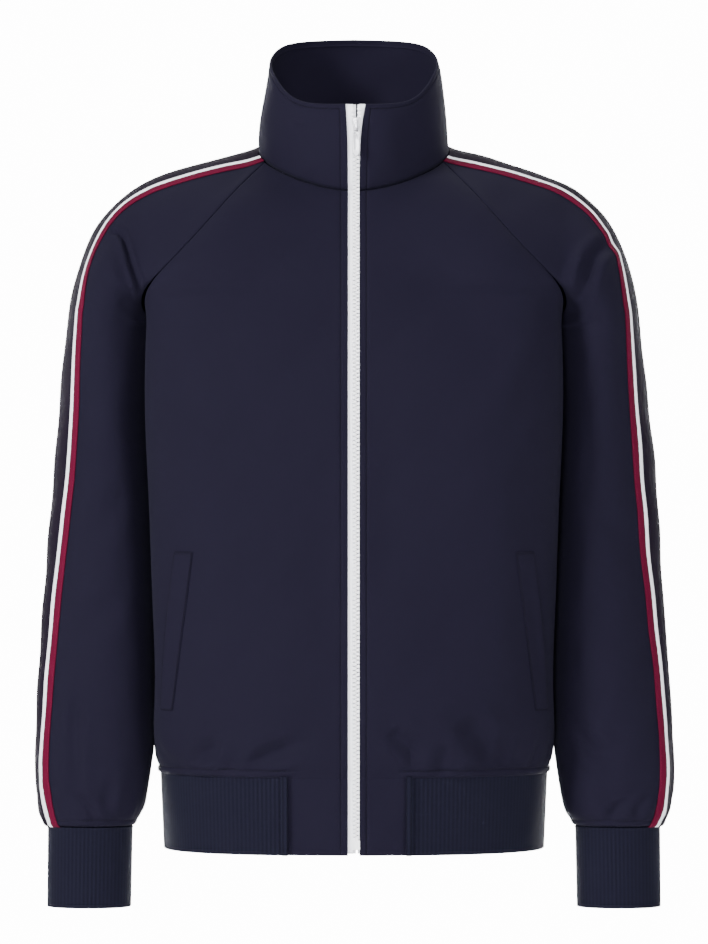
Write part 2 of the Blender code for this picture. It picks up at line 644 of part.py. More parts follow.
def neck_row(angle):
    """The neck seam as the body's pieces meet it, at angles round the neck from 0 in front to pi behind."""
    angle = np.asarray(angle, float)
    front = torso_rows([0], angle / FRONT_SEAM_ANGLE, True)[0]
    back = torso_rows([0], (math.pi - angle) / (math.pi - BACK_SEAM_ANGLE), False)[0]
    t = np.interp(angle, (FRONT_SEAM_ANGLE, SHOULDER_ANGLE, BACK_SEAM_ANGLE), (-1, 0, 1))
    side = sleeve_rows([0], t)[0]
    side = np.where((angle < FRONT_SEAM_ANGLE)[:, None], front, side)
    return np.where((angle > BACK_SEAM_ANGLE)[:, None], back, side)


def rim_row(angle):
    """The collar's rim at angles round the neck."""
    height = spline(np.radians([a for a, _ in COLLAR_RIM]), [z for _, z in COLLAR_RIM], angle)
    return np.stack([RIM_HALF_WIDTH * np.sin(angle), RIM_CENTRE_Y - RIM_HALF_DEPTH * np.cos(angle), height],
                    axis=-1)


def collar_rows(rows, low, high):
    """Points of one half of the collar. low and high are the angles of each column at seam and rim."""
    rows = np.asarray(rows, float)[:, None, None]
    base, rim = neck_row(low)[None], rim_row(high)[None]
    bulge = np.stack([COLLAR_SIDE_BULGE * np.sin(low), -COLLAR_BULGE * np.cos(low), 0 * low], axis=-1)[None]
    return base + (rim - base) * rows + bulge * 4 * rows * (1 - rows)


def collar_angles(bottom_x, top_x):
    """Angles on the neck seam and on the rim that are at a distance from the centre."""
    fine = np.linspace(0, FRONT_SEAM_ANGLE, FINE)
    return np.interp(bottom_x, neck_row(fine)[:, 0], fine), math.asin(top_x / RIM_HALF_WIDTH)


def collar_half(side, rows, columns):
    """Points and normals of half of the collar, from its zip edge to the middle of the back."""
    low, high = collar_angles(FRONT_EDGE[side], COLLAR_TOP_EDGE[side])
    low, high = (start + (math.pi - start) * columns for start in (low, high))
    step = 1e-3
    points = collar_rows(rows, low, high)
    across = collar_rows(rows, low + step, high + step) - collar_rows(rows, low - step, high - step)
    up = collar_rows(rows + step, low, high) - collar_rows(rows - step, low, high)
    return points, unit(np.cross(across, up))


def make_collar():
    """The stand collar, one wall from zip edge to zip edge."""
    rows = np.linspace(0, 1, COLLAR_CELLS + 1)
    halves = [collar_half(side, rows, np.array(COLLAR_COLUMNS)) for side in ("left", "right")]
    points, normals = (np.concatenate([left[:, :-1], mirrored(right)[:, ::-1]], axis=1)
                       for left, right in zip(*halves))
    points[0] += unit(points[1] - points[0]) * SEAM_GAP
    wall("collar", points, points - normals * CLOTH, "navy")


def zip_path(x):
    """Points and normals of the cloth at a distance from the centre line, from the rim to the hem."""
    rows = np.linspace(1, 0, COLLAR_CELLS + 1)[:-1]
    low, high = collar_angles(x, x)
    upper = np.concatenate([collar_rows([r], np.array([low]), np.array([high])) for r in rows])[:, 0]
    body = np.array(PANEL_ROWS + HEM_ROWS)
    t = t_at_x(body, x)[:, None]
    lower = torso_rows(body, t, True)[:, 0]
    path = np.concatenate([upper, lower])
    run = np.gradient(path, axis=0)
    return path, unit(np.cross(run, np.tile([1.0, 0, 0], (len(run), 1))))


def strip(name, colour, left, right, front, back):
    """A bar that follows the zip between two paths, from depth front to depth back behind the cloth."""
    points = np.stack([left[0], right[0]], axis=1)
    normals = np.stack([left[1], right[1]], axis=1)
    wall(name, points - normals * front, points - normals * back, colour)


def zip_parts():
    """The zip's two tapes and its chain of teeth, behind and between the front edges."""
    chain_left, chain_right = ZIP_CENTRE_X + ZIP_CHAIN_HALF, ZIP_CENTRE_X - ZIP_CHAIN_HALF
    behind = CLOTH + ZIP_TAPE_GAP
    for side, near in (("left", chain_left + SLIDER_GAP), ("right", -chain_right + SLIDER_GAP)):
        near, far = zip_path(near), zip_path(ZIP_TAPE_OUT)
        if side == "right":
            near, far = ((mirrored(points), mirrored(normals)) for points, normals in (near, far))
        strip("zip_tape_" + side, "zip_white", near, far, behind, behind + ZIP_TAPE_CLOTH)
    left = zip_path(chain_left)
    right = tuple(mirrored(grid) for grid in zip_path(-chain_right))
    strip("zip_chain", "zip_white", left, right, CHAIN_DEPTH[0], CHAIN_DEPTH[1])


def ribbed_ring(name, outline, pitch, closed):
    """A ribbed band. outline gives dense points of its top and bottom edges in its plane, evenly spaced."""
    lengths = [np.concatenate([[0], np.cumsum(np.linalg.norm(np.diff(line, axis=0), axis=1))])
               for line in outline]
    count = 2 * round(lengths[0][-1] / pitch)
    rows = []
    for line, length in zip(outline, lengths):
        at = np.linspace(0, length[-1], count + 1)
        rows.append(np.stack([np.interp(at, length, line[:, i]) for i in range(3)], axis=1))
    base = np.array(rows)
    if closed:
        ahead, behind = np.roll(base[:, :-1], -1, axis=1), np.roll(base[:, :-1], 1, axis=1)
        run = np.concatenate([ahead - behind, (ahead - behind)[:, :1]], axis=1)
    else:
        run = np.gradient(base, axis=1)
    outwards = unit(np.cross(run, base[1:] - base[:1]))
    relief = np.where(np.arange(count + 1) % 2 == 1, 0, -RIB_RELIEF)[None, :, None]
    wall(name, base + outwards * relief, base - outwards * RIB_CLOTH, "navy_rib",
         closed_from=0 if closed else None)


def quarter(wide, deep, square, sign):
    """A quarter of an oval, from the centre line in front or behind to the side."""
    points = np.array([[0, deep], [square * wide, deep], [wide, square * deep], [wide, 0]]) * [1, sign]
    return bezier(*(p[None] for p in points), np.linspace(0, 1, FINE))[0]


def beyond(line, x):
    """The part of a line that lies beyond x, where x rises along the line."""
    start = [[x, np.interp(x, line[:, 0], line[:, 1])]]
    return np.concatenate([start, line[line[:, 0] > x + 0.01]])


def make_waistband():
    """The ribbed band, from one plain front end round the back to the other."""
    outline = []
    for drop, wide, front, back in (BAND[0], BAND[-1]):
        ahead, rear = quarter(wide, front, BAND_SQUARENESS, -1), quarter(wide, back, BAND_SQUARENESS, 1)
        left, right = (beyond(ahead, HEM_END_X[side] + SEAM_GAP) for side in ("left", "right"))
        line = np.concatenate([left[:-1], rear[:0:-1], rear[:-1] * [-1, 1], right[::-1] * [-1, 1]])
        outline.append(np.column_stack([line, np.full(len(line), -drop)]))
    ribbed_ring("waistband", outline, RIB_PITCH, False)


def make_cuff(side, flip):
    """A ribbed cuff, a closed ring below the end of the sleeve."""
    outline = []
    for drop, x_in, x_out, y, reach in (CUFF[0], CUFF[-1]):
        fine = np.linspace(0, 1, FINE)
        start, end = np.array([[x_in, y]]), np.array([[x_out, y]])
        halves = [bezier(start, start + [0, s * reach], end + [0, s * reach], end, fine)[0] for s in (-1, 1)]
        line = np.concatenate([halves[0][:-1], halves[1][::-1]])
        outline.append(flip(np.column_stack([line, np.full(len(line), -drop)])))
    if side == "right":
        outline = [line[::-1] for line in outline]
    ribbed_ring("cuff_" + side, outline, CUFF_RIB_PITCH, True)


def welt_grid():
    """Points and normals of the strip of the front that is under a pocket's welt."""
    line = np.linspace(WELT_TOP, WELT_BOTTOM, WELT_CELLS + 1)
    share = (-line[:, 1] - UNDERARM_DROP) / (WAIST_SEAM_DROP - UNDERARM_DROP)
    rows = UNDERARM_ROW + share * (WAIST_ROW - UNDERARM_ROW)
    fine = np.linspace(0, 1, FINE)
    surface = torso_rows(rows, fine, True)
    steps = np.linalg.norm(np.diff(surface, axis=1), axis=2)
    length = np.hstack([np.zeros((len(steps), 1)), np.cumsum(steps, axis=1)])
    start = [np.interp(x, across, along) for x, across, along in zip(line[:, 0], surface[..., 0], length)]
    t = np.array([np.interp(first + np.linspace(0, WELT_WIDTH, WELT_COLUMNS), along, fine)
                  for first, along in zip(start, length)])
    points, normals = torso_rows(rows, t, True), outward(lambda r, s: torso_rows(r, s, True), rows, t, -1)
    return points - normals * folds_at(points, TORSO_FOLDS, WAIST_SEAM_DROP)[..., None], normals


def make_welt(side, flip):
    """A pocket's welt, a flat strip that lies on the front."""
    points, normals = welt_grid()
    wall("pocket_welt_" + side, flip(points + normals * (WELT_LIFT + WELT_CLOTH)),
         flip(points + normals * WELT_LIFT), "navy")


def slider_frame():
    """The middle of the slider on the front of the chain, and the directions up it and out of it."""
    path = zip_path(ZIP_CENTRE_X)[0][::-1]
    ends = [np.array([ZIP_CENTRE_X, np.interp(z, path[:, 2], path[:, 1]), z]) for z in SLIDER_Z]
    up = unit(ends[1] - ends[0])
    out = np.cross([1.0, 0, 0], up)
    return (ends[0] + ends[1]) / 2 - out * CHAIN_DEPTH[0], up, out


def make_slider():
    """The slider: a shield-shaped body on the chain, with a bridge that holds the pull tab."""
    centre, up, out = slider_frame()
    half_length = (SLIDER_Z[1] - SLIDER_Z[0]) / 2
    top = SLIDER_GAP + SLIDER_DEPTH

    def at(x, along, off):
        return centre + np.array([x, 0, 0]) + up * along + out * off

    shield = [[(x * SLIDER_HALF_WIDTH * share, half_length * along) for x in (-1, 0, 1)]
              for along, share in SHIELD]
    front, rear = (np.array([[at(x, along, off) for x, along in row] for row in shield])
                   for off in (top, SLIDER_GAP))
    body = wall("zip_slider", front, rear, "zip_metal")
    offs = (top - BRIDGE_ROOT, top, top + BRIDGE_HOLE, top + BRIDGE_HOLE + BRIDGE_BAR)
    alongs = (BRIDGE_ENDS[0], BRIDGE_ENDS[0] + BRIDGE_WALL, BRIDGE_ENDS[1] - BRIDGE_WALL, BRIDGE_ENDS[1])
    sides = [np.array([[at(x, along, off) for off in offs] for along in alongs])
             for x in (BRIDGE_HALF_WIDTH, -BRIDGE_HALF_WIDTH)]
    bridge = wall("slider_bridge", *sides, "zip_metal", keep=lambda r, c: (r, c) != (1, 1))
    bridge.hide_render = True
    bridge.display_type = "WIRE"
    join = body.modifiers.new("bridge", "BOOLEAN")
    join.operation = "UNION"
    join.solver = "EXACT"
    join.object = bridge


def make_pull():
    """The pull tab: a flat plate with a slot, which hangs from a cross bar inside the bridge."""
    centre, up, out = slider_frame()
    bar = PULL_THICKNESS / 2
    along = BRIDGE_ENDS[0] + BRIDGE_WALL + PULL_PLAY + bar * math.sqrt(2)
    hinge = centre + up * along + out * (SLIDER_GAP + SLIDER_DEPTH + BRIDGE_HOLE / 2)
    across = np.array([-PULL_HALF_WIDTH, -PULL_SLOT_HALF, PULL_SLOT_HALF, PULL_HALF_WIDTH])
    rows = [(bar, 1.0), (-bar, 1.0), (-bar - PULL_SLOT_LENGTH, 1.0)]
    rows += [(-share * PULL_LENGTH, width) for share, width in PULL_EDGE]
    face = np.array([[(x * share, 0, z) for x in across] for z, share in rows])
    off = np.array([0, bar, 0])
    wall("pull_tab", face - off, face + off, "zip_metal", keep=lambda r, c: (r, c) != (1, 1), origin=hinge)


def unchanged(points):
    """Points of the side that the tables give."""
    return points


def main():
    for obj in list(bpy.data.objects):
        bpy.data.objects.remove(obj)
    points, normals = back_grid()
    wall("back", points, points - normals * CLOTH, "navy")
    for side, flip in (("left", unchanged), ("right", mirrored)):
        make_front(side, flip)
        make_sleeve(side, flip)
        make_cuff(side, flip)
        make_welt(side, flip)
    make_collar()
    make_waistband()
    zip_parts()
    make_slider()
    make_pull()


main()
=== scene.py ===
"""A zip-front track jacket, filled out as if it were worn, with its cloth, seams, stitching and zip.

Every piece of cloth is a thin shell on the same surface as its frame node. The surfaces are rows of cubic
Bezier curves worked out in millimetres; X points to the wearer's left, -Y is the front and the origin is the
middle of the neck, level with the tops of the shoulders. Finished meshes are in metres.
"""

import math
from functools import partial

import bmesh
import bpy
import numpy as np
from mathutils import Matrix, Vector
from mathutils.kdtree import KDTree


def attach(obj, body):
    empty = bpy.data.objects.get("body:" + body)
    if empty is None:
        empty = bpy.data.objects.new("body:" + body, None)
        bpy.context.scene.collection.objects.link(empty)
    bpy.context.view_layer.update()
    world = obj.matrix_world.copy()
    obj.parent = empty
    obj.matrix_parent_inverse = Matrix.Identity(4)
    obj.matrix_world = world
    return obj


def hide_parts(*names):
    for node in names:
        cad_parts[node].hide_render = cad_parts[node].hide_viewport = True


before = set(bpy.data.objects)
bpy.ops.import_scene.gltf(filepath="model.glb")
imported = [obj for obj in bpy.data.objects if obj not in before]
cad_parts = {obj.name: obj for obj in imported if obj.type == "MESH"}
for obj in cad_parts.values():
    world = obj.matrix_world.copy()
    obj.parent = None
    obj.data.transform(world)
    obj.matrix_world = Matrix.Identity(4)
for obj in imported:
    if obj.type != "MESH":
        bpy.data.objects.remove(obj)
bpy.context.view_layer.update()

bl_info = {
    "name": "Track jacket",
    "version": (1, 0, 0),
    "blender": (4, 5, 0),
    "location": "3D View > Sidebar > Jacket",
    "description": "Dresses the jacket's frame with its cloth, seams, stitching, zip and studio",
    "category": "Object",
}

MM = 0.001

# Thickness of each cloth, the gap at a seam, and the pitch of the ribs
CLOTH = 1.6
RIB_CLOTH = 2.0
TAPE_CLOTH = 1.0
COLLAR_CLOTH = 2.2
SEAM_GAP = 0.12
RIB_PITCH = 4.1
CUFF_RIB_PITCH = 3.7

# The neckline, an oval that rises from the front neck point to the back of the neck
NECK_HALF_WIDTH = 90.0
NECK_HALF_DEPTH = 70.0
NECK_CENTRE_Y = 5.0
NECK_FRONT_Z = -42.0
NECK_BACK_Z = 22.0
NECK_RISE = 0.68
FRONT_SEAM_ANGLE = math.radians(70)
SHOULDER_ANGLE = math.radians(98)
BACK_SEAM_ANGLE = math.radians(125)

# Raglan seams and shoulder line: x, y and z at each level from below the neckline to the underarm
FRONT_SEAM = (
    (111, -54, -40), (131, -70, -63), (153, -79, -88), (172, -81, -108), (186, -77, -123),
    (196, -67, -137), (201, -50, -152), (203.5, -26, -165), (204, 0, -172),
)
BACK_SEAM = (
    (100, 63, -24), (123, 81, -52), (145, 93, -82), (164, 98, -106), (178, 97, -125),
    (190, 87, -142), (198, 66, -156), (203, 32, -167), (204, 0, -172),
)
SHOULDER_LINE = (
    (110, 14, -3.5), (138, 14, -11), (167, 13, -20), (194, 12, -30), (218, 10, -44),
    (238, 8, -64), (252, 6, -88), (262, 5, -118), (269, 4, -152),
)
FRONT_ROW_DROPS = (42, 62, 80, 97, 111, 124, 136, 148, 160, 172)
BACK_ROW_DROPS = (-22, 5, 32, 58, 82, 104, 124, 142, 158, 172)
FOLDED_IN = (0, 0, 0, 0, 0, 0.04, 0.35, 0.7, 0.93, 1)
SLEEVE_LEAN = 0.35
SLEEVE_CUT_LIMIT = 0.45

# Centre lines: drop below the origin, and depth in front of it or behind it
FRONT_LINE = ((42, 65), (62, 74), (97, 90), (136, 105), (172, 116), (238, 127), (333, 131), (428, 131),
              (523, 132), (560, 131.4), (578.5, 130), (590.5, 126.5))
BACK_LINE = ((-22, 75), (5, 90), (32, 101), (58, 108), (104, 118), (150, 123), (238, 121), (333, 109),
             (428, 100), (523, 103), (568.5, 107), (590.5, 103))

# Torso below the underarm
TORSO_COLUMNS = ("drop", "half_width", "squareness", "pinch")
TORSO = (
    (172, 204, 0.86, 26),
    (238, 204, 0.83, 17.5),
    (333, 200, 0.79, 12),
    (428, 197, 0.75, 10.5),
    (523, 195, 0.74, 10),
    (568.5, 193, 0.70, 6),
    (590.5, 184.5, 0.66, 0),
)
UNDERARM_DROP = 172.0
WAIST_SEAM_DROP = 590.5
HEM_DROP = 662.0
HEM_TUCK = 5.5
PINCH_SPREAD = 38.0
PINCH_START_DROP = 110.0
PINCH_FULL_DROP = 155.0
CENTRE_HANDLE = 0.36
TORSO_SEAM_HANDLE = 0.26
SLEEVE_SEAM_HANDLE = 0.38
SHOULDER_HANDLE = 0.42

# Sleeve rings below the underarm: inner and outer points, lean of the inner side, reaches of the curves
SLEEVE_COLUMNS = ("drop_in", "x_in", "drop_out", "x_out", "y", "lean", "reach_in", "reach_out")
SLEEVE = (
    (172, 178, 152, 269, 4, 0.35, 114, 80),
    (218, 186, 206, 275, 4, 0.24, 114, 62),
    (285, 189.6, 280, 282, 2, 0.15, 110, 54),
    (360, 189.2, 357, 288.5, -1, 0.10, 103, 52),
    (440, 188, 439, 293.7, -6, 0.06, 93, 53),
    (540, 188, 523, 299.8, -13, 0.04, 80, 54),
    (580, 190.8, 580, 301.5, -19, 0.03, 72, 56),
    (612, 196, 612, 299.2, -22, 0.0, 65, 56),
    (630, 202, 630, 295, -24, 0.0, 56, 52),
    (640, 208.5, 640, 290.3, -25, 0.0, 46, 44),
)
UPPER_REACH_IN = 3.0
UPPER_REACH_OUT = 9.0
WRAP_ROWS = (4.0, 6.5)
UNDERARM_Y = 0.0

# Cuff, its top and bottom edges: drop, inner x, outer x, y, and reach of the curves
CUFF = (
    (640.1, 211, 287.3, -25.5, 42),
    (716, 212.5, 287.8, -28, 40.5),
)

# Waistband, its top and bottom edges: drop, half width, and depths in front and behind. Its top lies a little
# way up behind the hem, and its ends lie behind the plain ends of the fronts
BAND = ((588.2, 181.8, 124.6, 101.5), (662, 178.5, 119.5, 98.5))
BAND_SQUARENESS = 0.66
BAND_TUCKED = 5.0
BAND_TUCK_DEPTH = 2.9
BAND_SWELL = 0.35

# Zip, front edges and the plain front ends of the waistband
ZIP_CENTRE_X = 2.0
ZIP_CHAIN_HALF = 2.8
ZIP_TAPE_CLOTH = 0.8
FRONT_EDGE = {"left": 5.2, "right": 5.7}
COLLAR_TOP_EDGE = {"left": 11.0, "right": 8.0}
HEM_END_X = {"left": 53.0, "right": 66.0}

# Collar rim: angle round the neck from the front, and height
COLLAR_RIM = ((0, 39), (22, 39.5), (45, 46), (72, 70), (100, 89), (120, 100.5), (140, 106.5), (180, 110))
RIM_HALF_WIDTH = 80.0
RIM_HALF_DEPTH = 67.0
RIM_CENTRE_Y = -5.0
COLLAR_BULGE = 5.0
COLLAR_SIDE_BULGE = 2.5
COLLAR_OVERLAP = 1.5
COLLAR_TUCK = 1.9

# Side tape: its width, and how far it reaches in front of the shoulder line at each row of the sleeve,
# measured round the sleeve
TAPE_WIDTH = 62.0
TAPE_EDGE = ((0, 37), (0.5, 42.5), (1, 47), (1.5, 49), (2, 49), (3, 47), (4, 46), (5, 48), (6, 56), (7, 63.5),
             (8, 65.5), (9, 63.5), (10, 58.5), (11, 55), (12, 49.5), (13, 42.5), (14, 37), (15, 35.5),
             (16, 34.5), (17, 33), (18, 31))
TAPE_LIFT = 0.3

# Pocket welts on the fronts: ends of the inner edge, and the welt's width
WELT_TOP = (150.0, -380.0)
WELT_BOTTOM = (169.0, -529.0)
WELT_WIDTH = 21.0
WELT_LIFT = 0.45
WELT_CLOTH = 1.0

# Slider and pull. Places along the slider are measured up from its middle
CHAIN_DEPTH = (0.4, 3.0)
SLIDER_Z = (13.5, 26.5)
SLIDER_HALF_WIDTH = 4.2
SLIDER_DEPTH = 2.4
SLIDER_GAP = 0.3
BRIDGE_ENDS = (-5.0, 3.0)
BRIDGE_WALL = 1.5
BRIDGE_HALF_WIDTH = 1.1
BRIDGE_HOLE = 3.0
BRIDGE_BAR = 1.2
PULL_THICKNESS = 1.4
PULL_HALF_WIDTH = 3.5
PULL_LENGTH = 28.0
PULL_SLOT_HALF = 2.2
PULL_SLOT_LENGTH = 7.6
PULL_PLAY = 0.5

# Main folds of the frame's cloth, alike on both sides: x and z of both ends, width, depth
FOLD_FADE = 24.0
FOLD_TAPER = 0.6
FOLD_TURN = 8.0
TORSO_FOLDS = (
    ((150, -585, 122, -545, 20, 5), (95, -588, 60, -560, 18, 3.5)),
    ((180, -165, 140, -250, 20, 4.5), (70, -585, 55, -530, 20, 4.5), (130, -585, 120, -520, 20, 4)),
)
SLEEVE_FOLDS = (
    ((205, -152, 228, -88, 13, 4), (238, -626, 246, -560, 14, 4), (262, -628, 272, -572, 13, 3),
     (210, -245, 232, -330, 20, 2)),
    ((232, -626, 240, -560, 14, 4), (265, -625, 268, -570, 13, 3), (215, -250, 245, -340, 22, 4)),
)

UNDERARM_ROW = 9
WAIST_ROW = 18
HEM_ROW = 20
FINE = 241


# ---- Surfaces ----

def unit(vectors):
    """Vectors scaled to length 1."""
    return vectors / np.linalg.norm(vectors, axis=-1, keepdims=True)


def spline(knots, values, at):
    """A natural cubic curve through values at rising knots, read at the places in at."""
    knots, values, at = (np.asarray(a, float) for a in (knots, values, at))
    gap, last = np.diff(knots), len(knots) - 1
    system, slope_change = np.eye(len(knots)), np.zeros_like(values)
    for i in range(1, last):
        system[i, i - 1:i + 2] = gap[i - 1], 2 * (gap[i - 1] + gap[i]), gap[i]
        ahead, behind = (values[i + 1] - values[i]) / gap[i], (values[i] - values[i - 1]) / gap[i - 1]
        slope_change[i] = 6 * (ahead - behind)
    bend = np.linalg.solve(system, slope_change)
    i = np.clip(np.searchsorted(knots, at, side="right") - 1, 0, last - 1)
    shape = i.shape + (1,) * (values.ndim - 1)
    h, a, b = (x.reshape(shape) for x in (gap[i], knots[i + 1] - at, at - knots[i]))
    curved = (bend[i] * a**3 + bend[i + 1] * b**3) / (6 * h)
    return curved + (values[i] / h - bend[i] * h / 6) * a + (values[i + 1] / h - bend[i + 1] * h / 6) * b


def read(table, columns, name, at):
    """One named column of a table whose first column rises, read at the places in at."""
    rows = np.array(table, float)
    return spline(rows[:, 0], rows[:, columns.index(name)], at)


def bezier(p0, p1, p2, p3, t):
    """Rows of cubic Bezier curves: one row for each set of points, one column for each t."""
    p0, p1, p2, p3 = (p[:, None, :] for p in (p0, p1, p2, p3))
    t = np.atleast_2d(t)[..., None]
    return (1 - t)**3 * p0 + 3 * (1 - t)**2 * t * p1 + 3 * (1 - t) * t**2 * p2 + t**3 * p3


def smooth_ramp(value):
    """A soft step from 0 to 1."""
    value = np.clip(value, 0, 1)
    return value**2 * (3 - 2 * value)


def blend(a, b, share):
    """From a, where share is 0, to b, where it is 1."""
    return a + (b - a) * share


def neckline(angle):
    """The neck seam at an angle round the neck, from 0 at the front to pi at the back."""
    share = ((1 - np.cos(angle)) / 2)**NECK_RISE
    return np.stack([NECK_HALF_WIDTH * np.sin(angle), NECK_CENTRE_Y - NECK_HALF_DEPTH * np.cos(angle),
                     NECK_FRONT_Z + (NECK_BACK_Z - NECK_FRONT_Z) * share], axis=-1)


def neck_direction(angle):
    """The direction in which the neckline runs at an angle, towards the back."""
    step = 1e-4
    return unit(neckline(np.array(angle + step)) - neckline(np.array(angle - step)))


def seam_points(table, angle):
    """A seam's table with its point on the neckline put first."""
    return np.vstack([neckline(np.array(angle)), np.array(table, float)])


def centre_points(line, drops, sign):
    """Points of a centre line at each drop, in front of the origin if sign is -1."""
    drops = np.array(drops, float)
    depths = read(line, ("drop", "depth"), "depth", drops)
    return np.stack([0 * drops, sign * depths, -drops], axis=-1)


def crossing(centre, seam, top, neck):
    """The direction in which each row crosses its seam, halfway between its two stretches."""
    across = unit(unit(seam - centre) + unit(top - seam))
    across[0] = neck
    return across


LEVELS = np.arange(10)
FRONT_POINTS = seam_points(FRONT_SEAM, FRONT_SEAM_ANGLE)
BACK_POINTS = seam_points(BACK_SEAM, BACK_SEAM_ANGLE)
TOP_POINTS = seam_points(SHOULDER_LINE, SHOULDER_ANGLE)
FRONT_CENTRE = centre_points(FRONT_LINE, FRONT_ROW_DROPS, -1)
BACK_CENTRE = centre_points(BACK_LINE, BACK_ROW_DROPS, 1)
FRONT_ACROSS = crossing(FRONT_CENTRE, FRONT_POINTS, TOP_POINTS, neck_direction(FRONT_SEAM_ANGLE))
BACK_ACROSS = crossing(BACK_CENTRE, BACK_POINTS, TOP_POINTS, -neck_direction(BACK_SEAM_ANGLE))
TOP_ACROSS = np.tile([0.0, 1.0, 0.0], (10, 1))
TOP_ACROSS[0] = neck_direction(SHOULDER_ANGLE)
TOP_ACROSS[1] = unit(TOP_ACROSS[0] + 2 * TOP_ACROSS[2])


def pinched(points):
    """Points of the torso moved in where the arm presses on its side."""
    drop = -points[..., 2]
    deep = np.clip(read(TORSO, TORSO_COLUMNS, "pinch", np.clip(drop, UNDERARM_DROP, WAIST_SEAM_DROP)), 0, None)
    ramp = smooth_ramp((drop - PINCH_START_DROP) / (PINCH_FULL_DROP - PINCH_START_DROP))
    near = np.exp(-(points[..., 1] / PINCH_SPREAD)**2)
    moved = points.copy()
    moved[..., 0] -= deep * ramp * near
    return moved


def wrap_share(rows):
    """How much a row follows the whole body or arm, from 0 at the upper chest to 1 near the underarm."""
    return smooth_ramp((rows - WRAP_ROWS[0]) / (WRAP_ROWS[1] - WRAP_ROWS[0]))[:, None]


def torso_handles(centre, seam, sign):
    """Inner control points of rows that are cut from a whole quarter of the torso at their seam."""
    square, fine = TORSO[0][2], np.linspace(0, 1, 401)
    depths = bezier(*(np.array([[y]]) for y in (1, 1, square, 0)), fine)[0, :, 0]
    widths = bezier(*(np.array([[x]]) for x in (0, square, 1, 1)), fine)[0, :, 0]
    deep = np.abs(centre[:, 1])
    cut = np.interp(-np.abs(seam[:, 1]) / deep, -depths, fine)
    wide = seam[:, 0] / np.clip(np.interp(cut, fine, widths), 0.1, 1)
    zero = 0 * deep
    q0, q1, q2 = (np.stack([x, sign * y, zero], axis=1) for x, y in (
        (zero, deep), (square * wide, deep), (wide, square * deep)))
    cut = cut[:, None]
    first, second = blend(q0, q1, cut), blend(blend(q0, q1, cut), blend(q1, q2, cut), cut)
    first[:, 2] = blend(centre[:, 2], seam[:, 2], 1 / 3)
    second[:, 2] = blend(centre[:, 2], seam[:, 2], 2 / 3)
    return first, second


def torso_rows(rows, t, front):
    """Points of the front (or back) of the torso. t runs from the centre line, at 0, to the seam, at 1."""
    sign = -1 if front else 1
    centre, seam, across = ((FRONT_CENTRE, FRONT_POINTS, FRONT_ACROSS) if front
                            else (BACK_CENTRE, BACK_POINTS, BACK_ACROSS))
    rows = np.asarray(rows, float)
    upper = np.clip(rows, 0, UNDERARM_ROW)
    p0, p3 = spline(LEVELS, centre, upper), spline(LEVELS, seam, upper)
    chord = np.linalg.norm(p3 - p0, axis=1, keepdims=True)
    share = wrap_share(upper)
    p1, p2 = torso_handles(p0, p3, sign)
    p1 = blend(p0 + np.array([1, 0, 0]) * CENTRE_HANDLE * chord, p1, share)
    p2 = blend(p3 - unit(spline(LEVELS, across, upper)) * TORSO_SEAM_HANDLE * chord, p2, share)
    low = np.clip((rows - UNDERARM_ROW) / (WAIST_ROW - UNDERARM_ROW), 0, 1)
    drop = UNDERARM_DROP + low * (WAIST_SEAM_DROP - UNDERARM_DROP)
    wide, square = (read(TORSO, TORSO_COLUMNS, name, drop) for name in ("half_width", "squareness"))
    deep = sign * read(FRONT_LINE if front else BACK_LINE, ("drop", "depth"), "depth", drop)
    zero = 0 * drop
    lower = [np.stack(point, axis=-1) for point in (
        (zero, deep, -drop), (square * wide, deep, -drop), (wide, square * deep, -drop), (wide, zero, -drop))]
    is_low = (rows > UNDERARM_ROW)[:, None]
    points = pinched(bezier(*(np.where(is_low, b, a) for a, b in zip((p0, p1, p2, p3), lower)), t))
    below = np.clip((rows - WAIST_ROW) / (HEM_ROW - WAIST_ROW), 0, 1)[:, None]
    points[..., 2] -= below * (HEM_DROP - WAIST_SEAM_DROP)
    points[..., 1] -= sign * below * HEM_TUCK
    return points


front_rows = partial(torso_rows, front=True)
back_rows = partial(torso_rows, front=False)


def sleeve_handles(start, top, sign, reach_in, reach_out):
    """Inner control points of rows that are cut from half of a whole ring of the sleeve at their seam."""
    lean = np.array([SLEEVE_LEAN, sign * math.sqrt(1 - SLEEVE_LEAN**2), 0])
    fine = np.linspace(0, SLEEVE_CUT_LIMIT, 401)
    q1, q2 = lean * reach_in, top + np.array([0, sign, 0]) * reach_out
    depth = np.maximum.accumulate(sign * bezier(0 * top, q1, q2, top, fine)[..., 1], axis=1)
    cut = np.array([np.interp(sign * y, line, fine) for y, line in zip(start[:, 1], depth)])[:, None]
    outer = 3 * (1 - cut) * cut**2 + cut**3
    inner = 3 * (1 - cut)**2 * cut
    root = (start[:, :1] - outer * top[:, :1] - inner * q1[:, :1]) / (1 - outer)
    q0 = np.concatenate([root, 0 * root, 0 * root], axis=1)
    q1 = q0 + q1
    middle = blend(q1, q2, cut)
    leave = blend(middle, blend(q2, top, cut), cut)
    at = blend(blend(blend(q0, q1, cut), middle, cut), leave, cut)
    run = leave - at
    run[:, 2] = 0
    last = blend(q2, top, cut)
    last[:, 2] = top[:, 2]
    return start + run, last


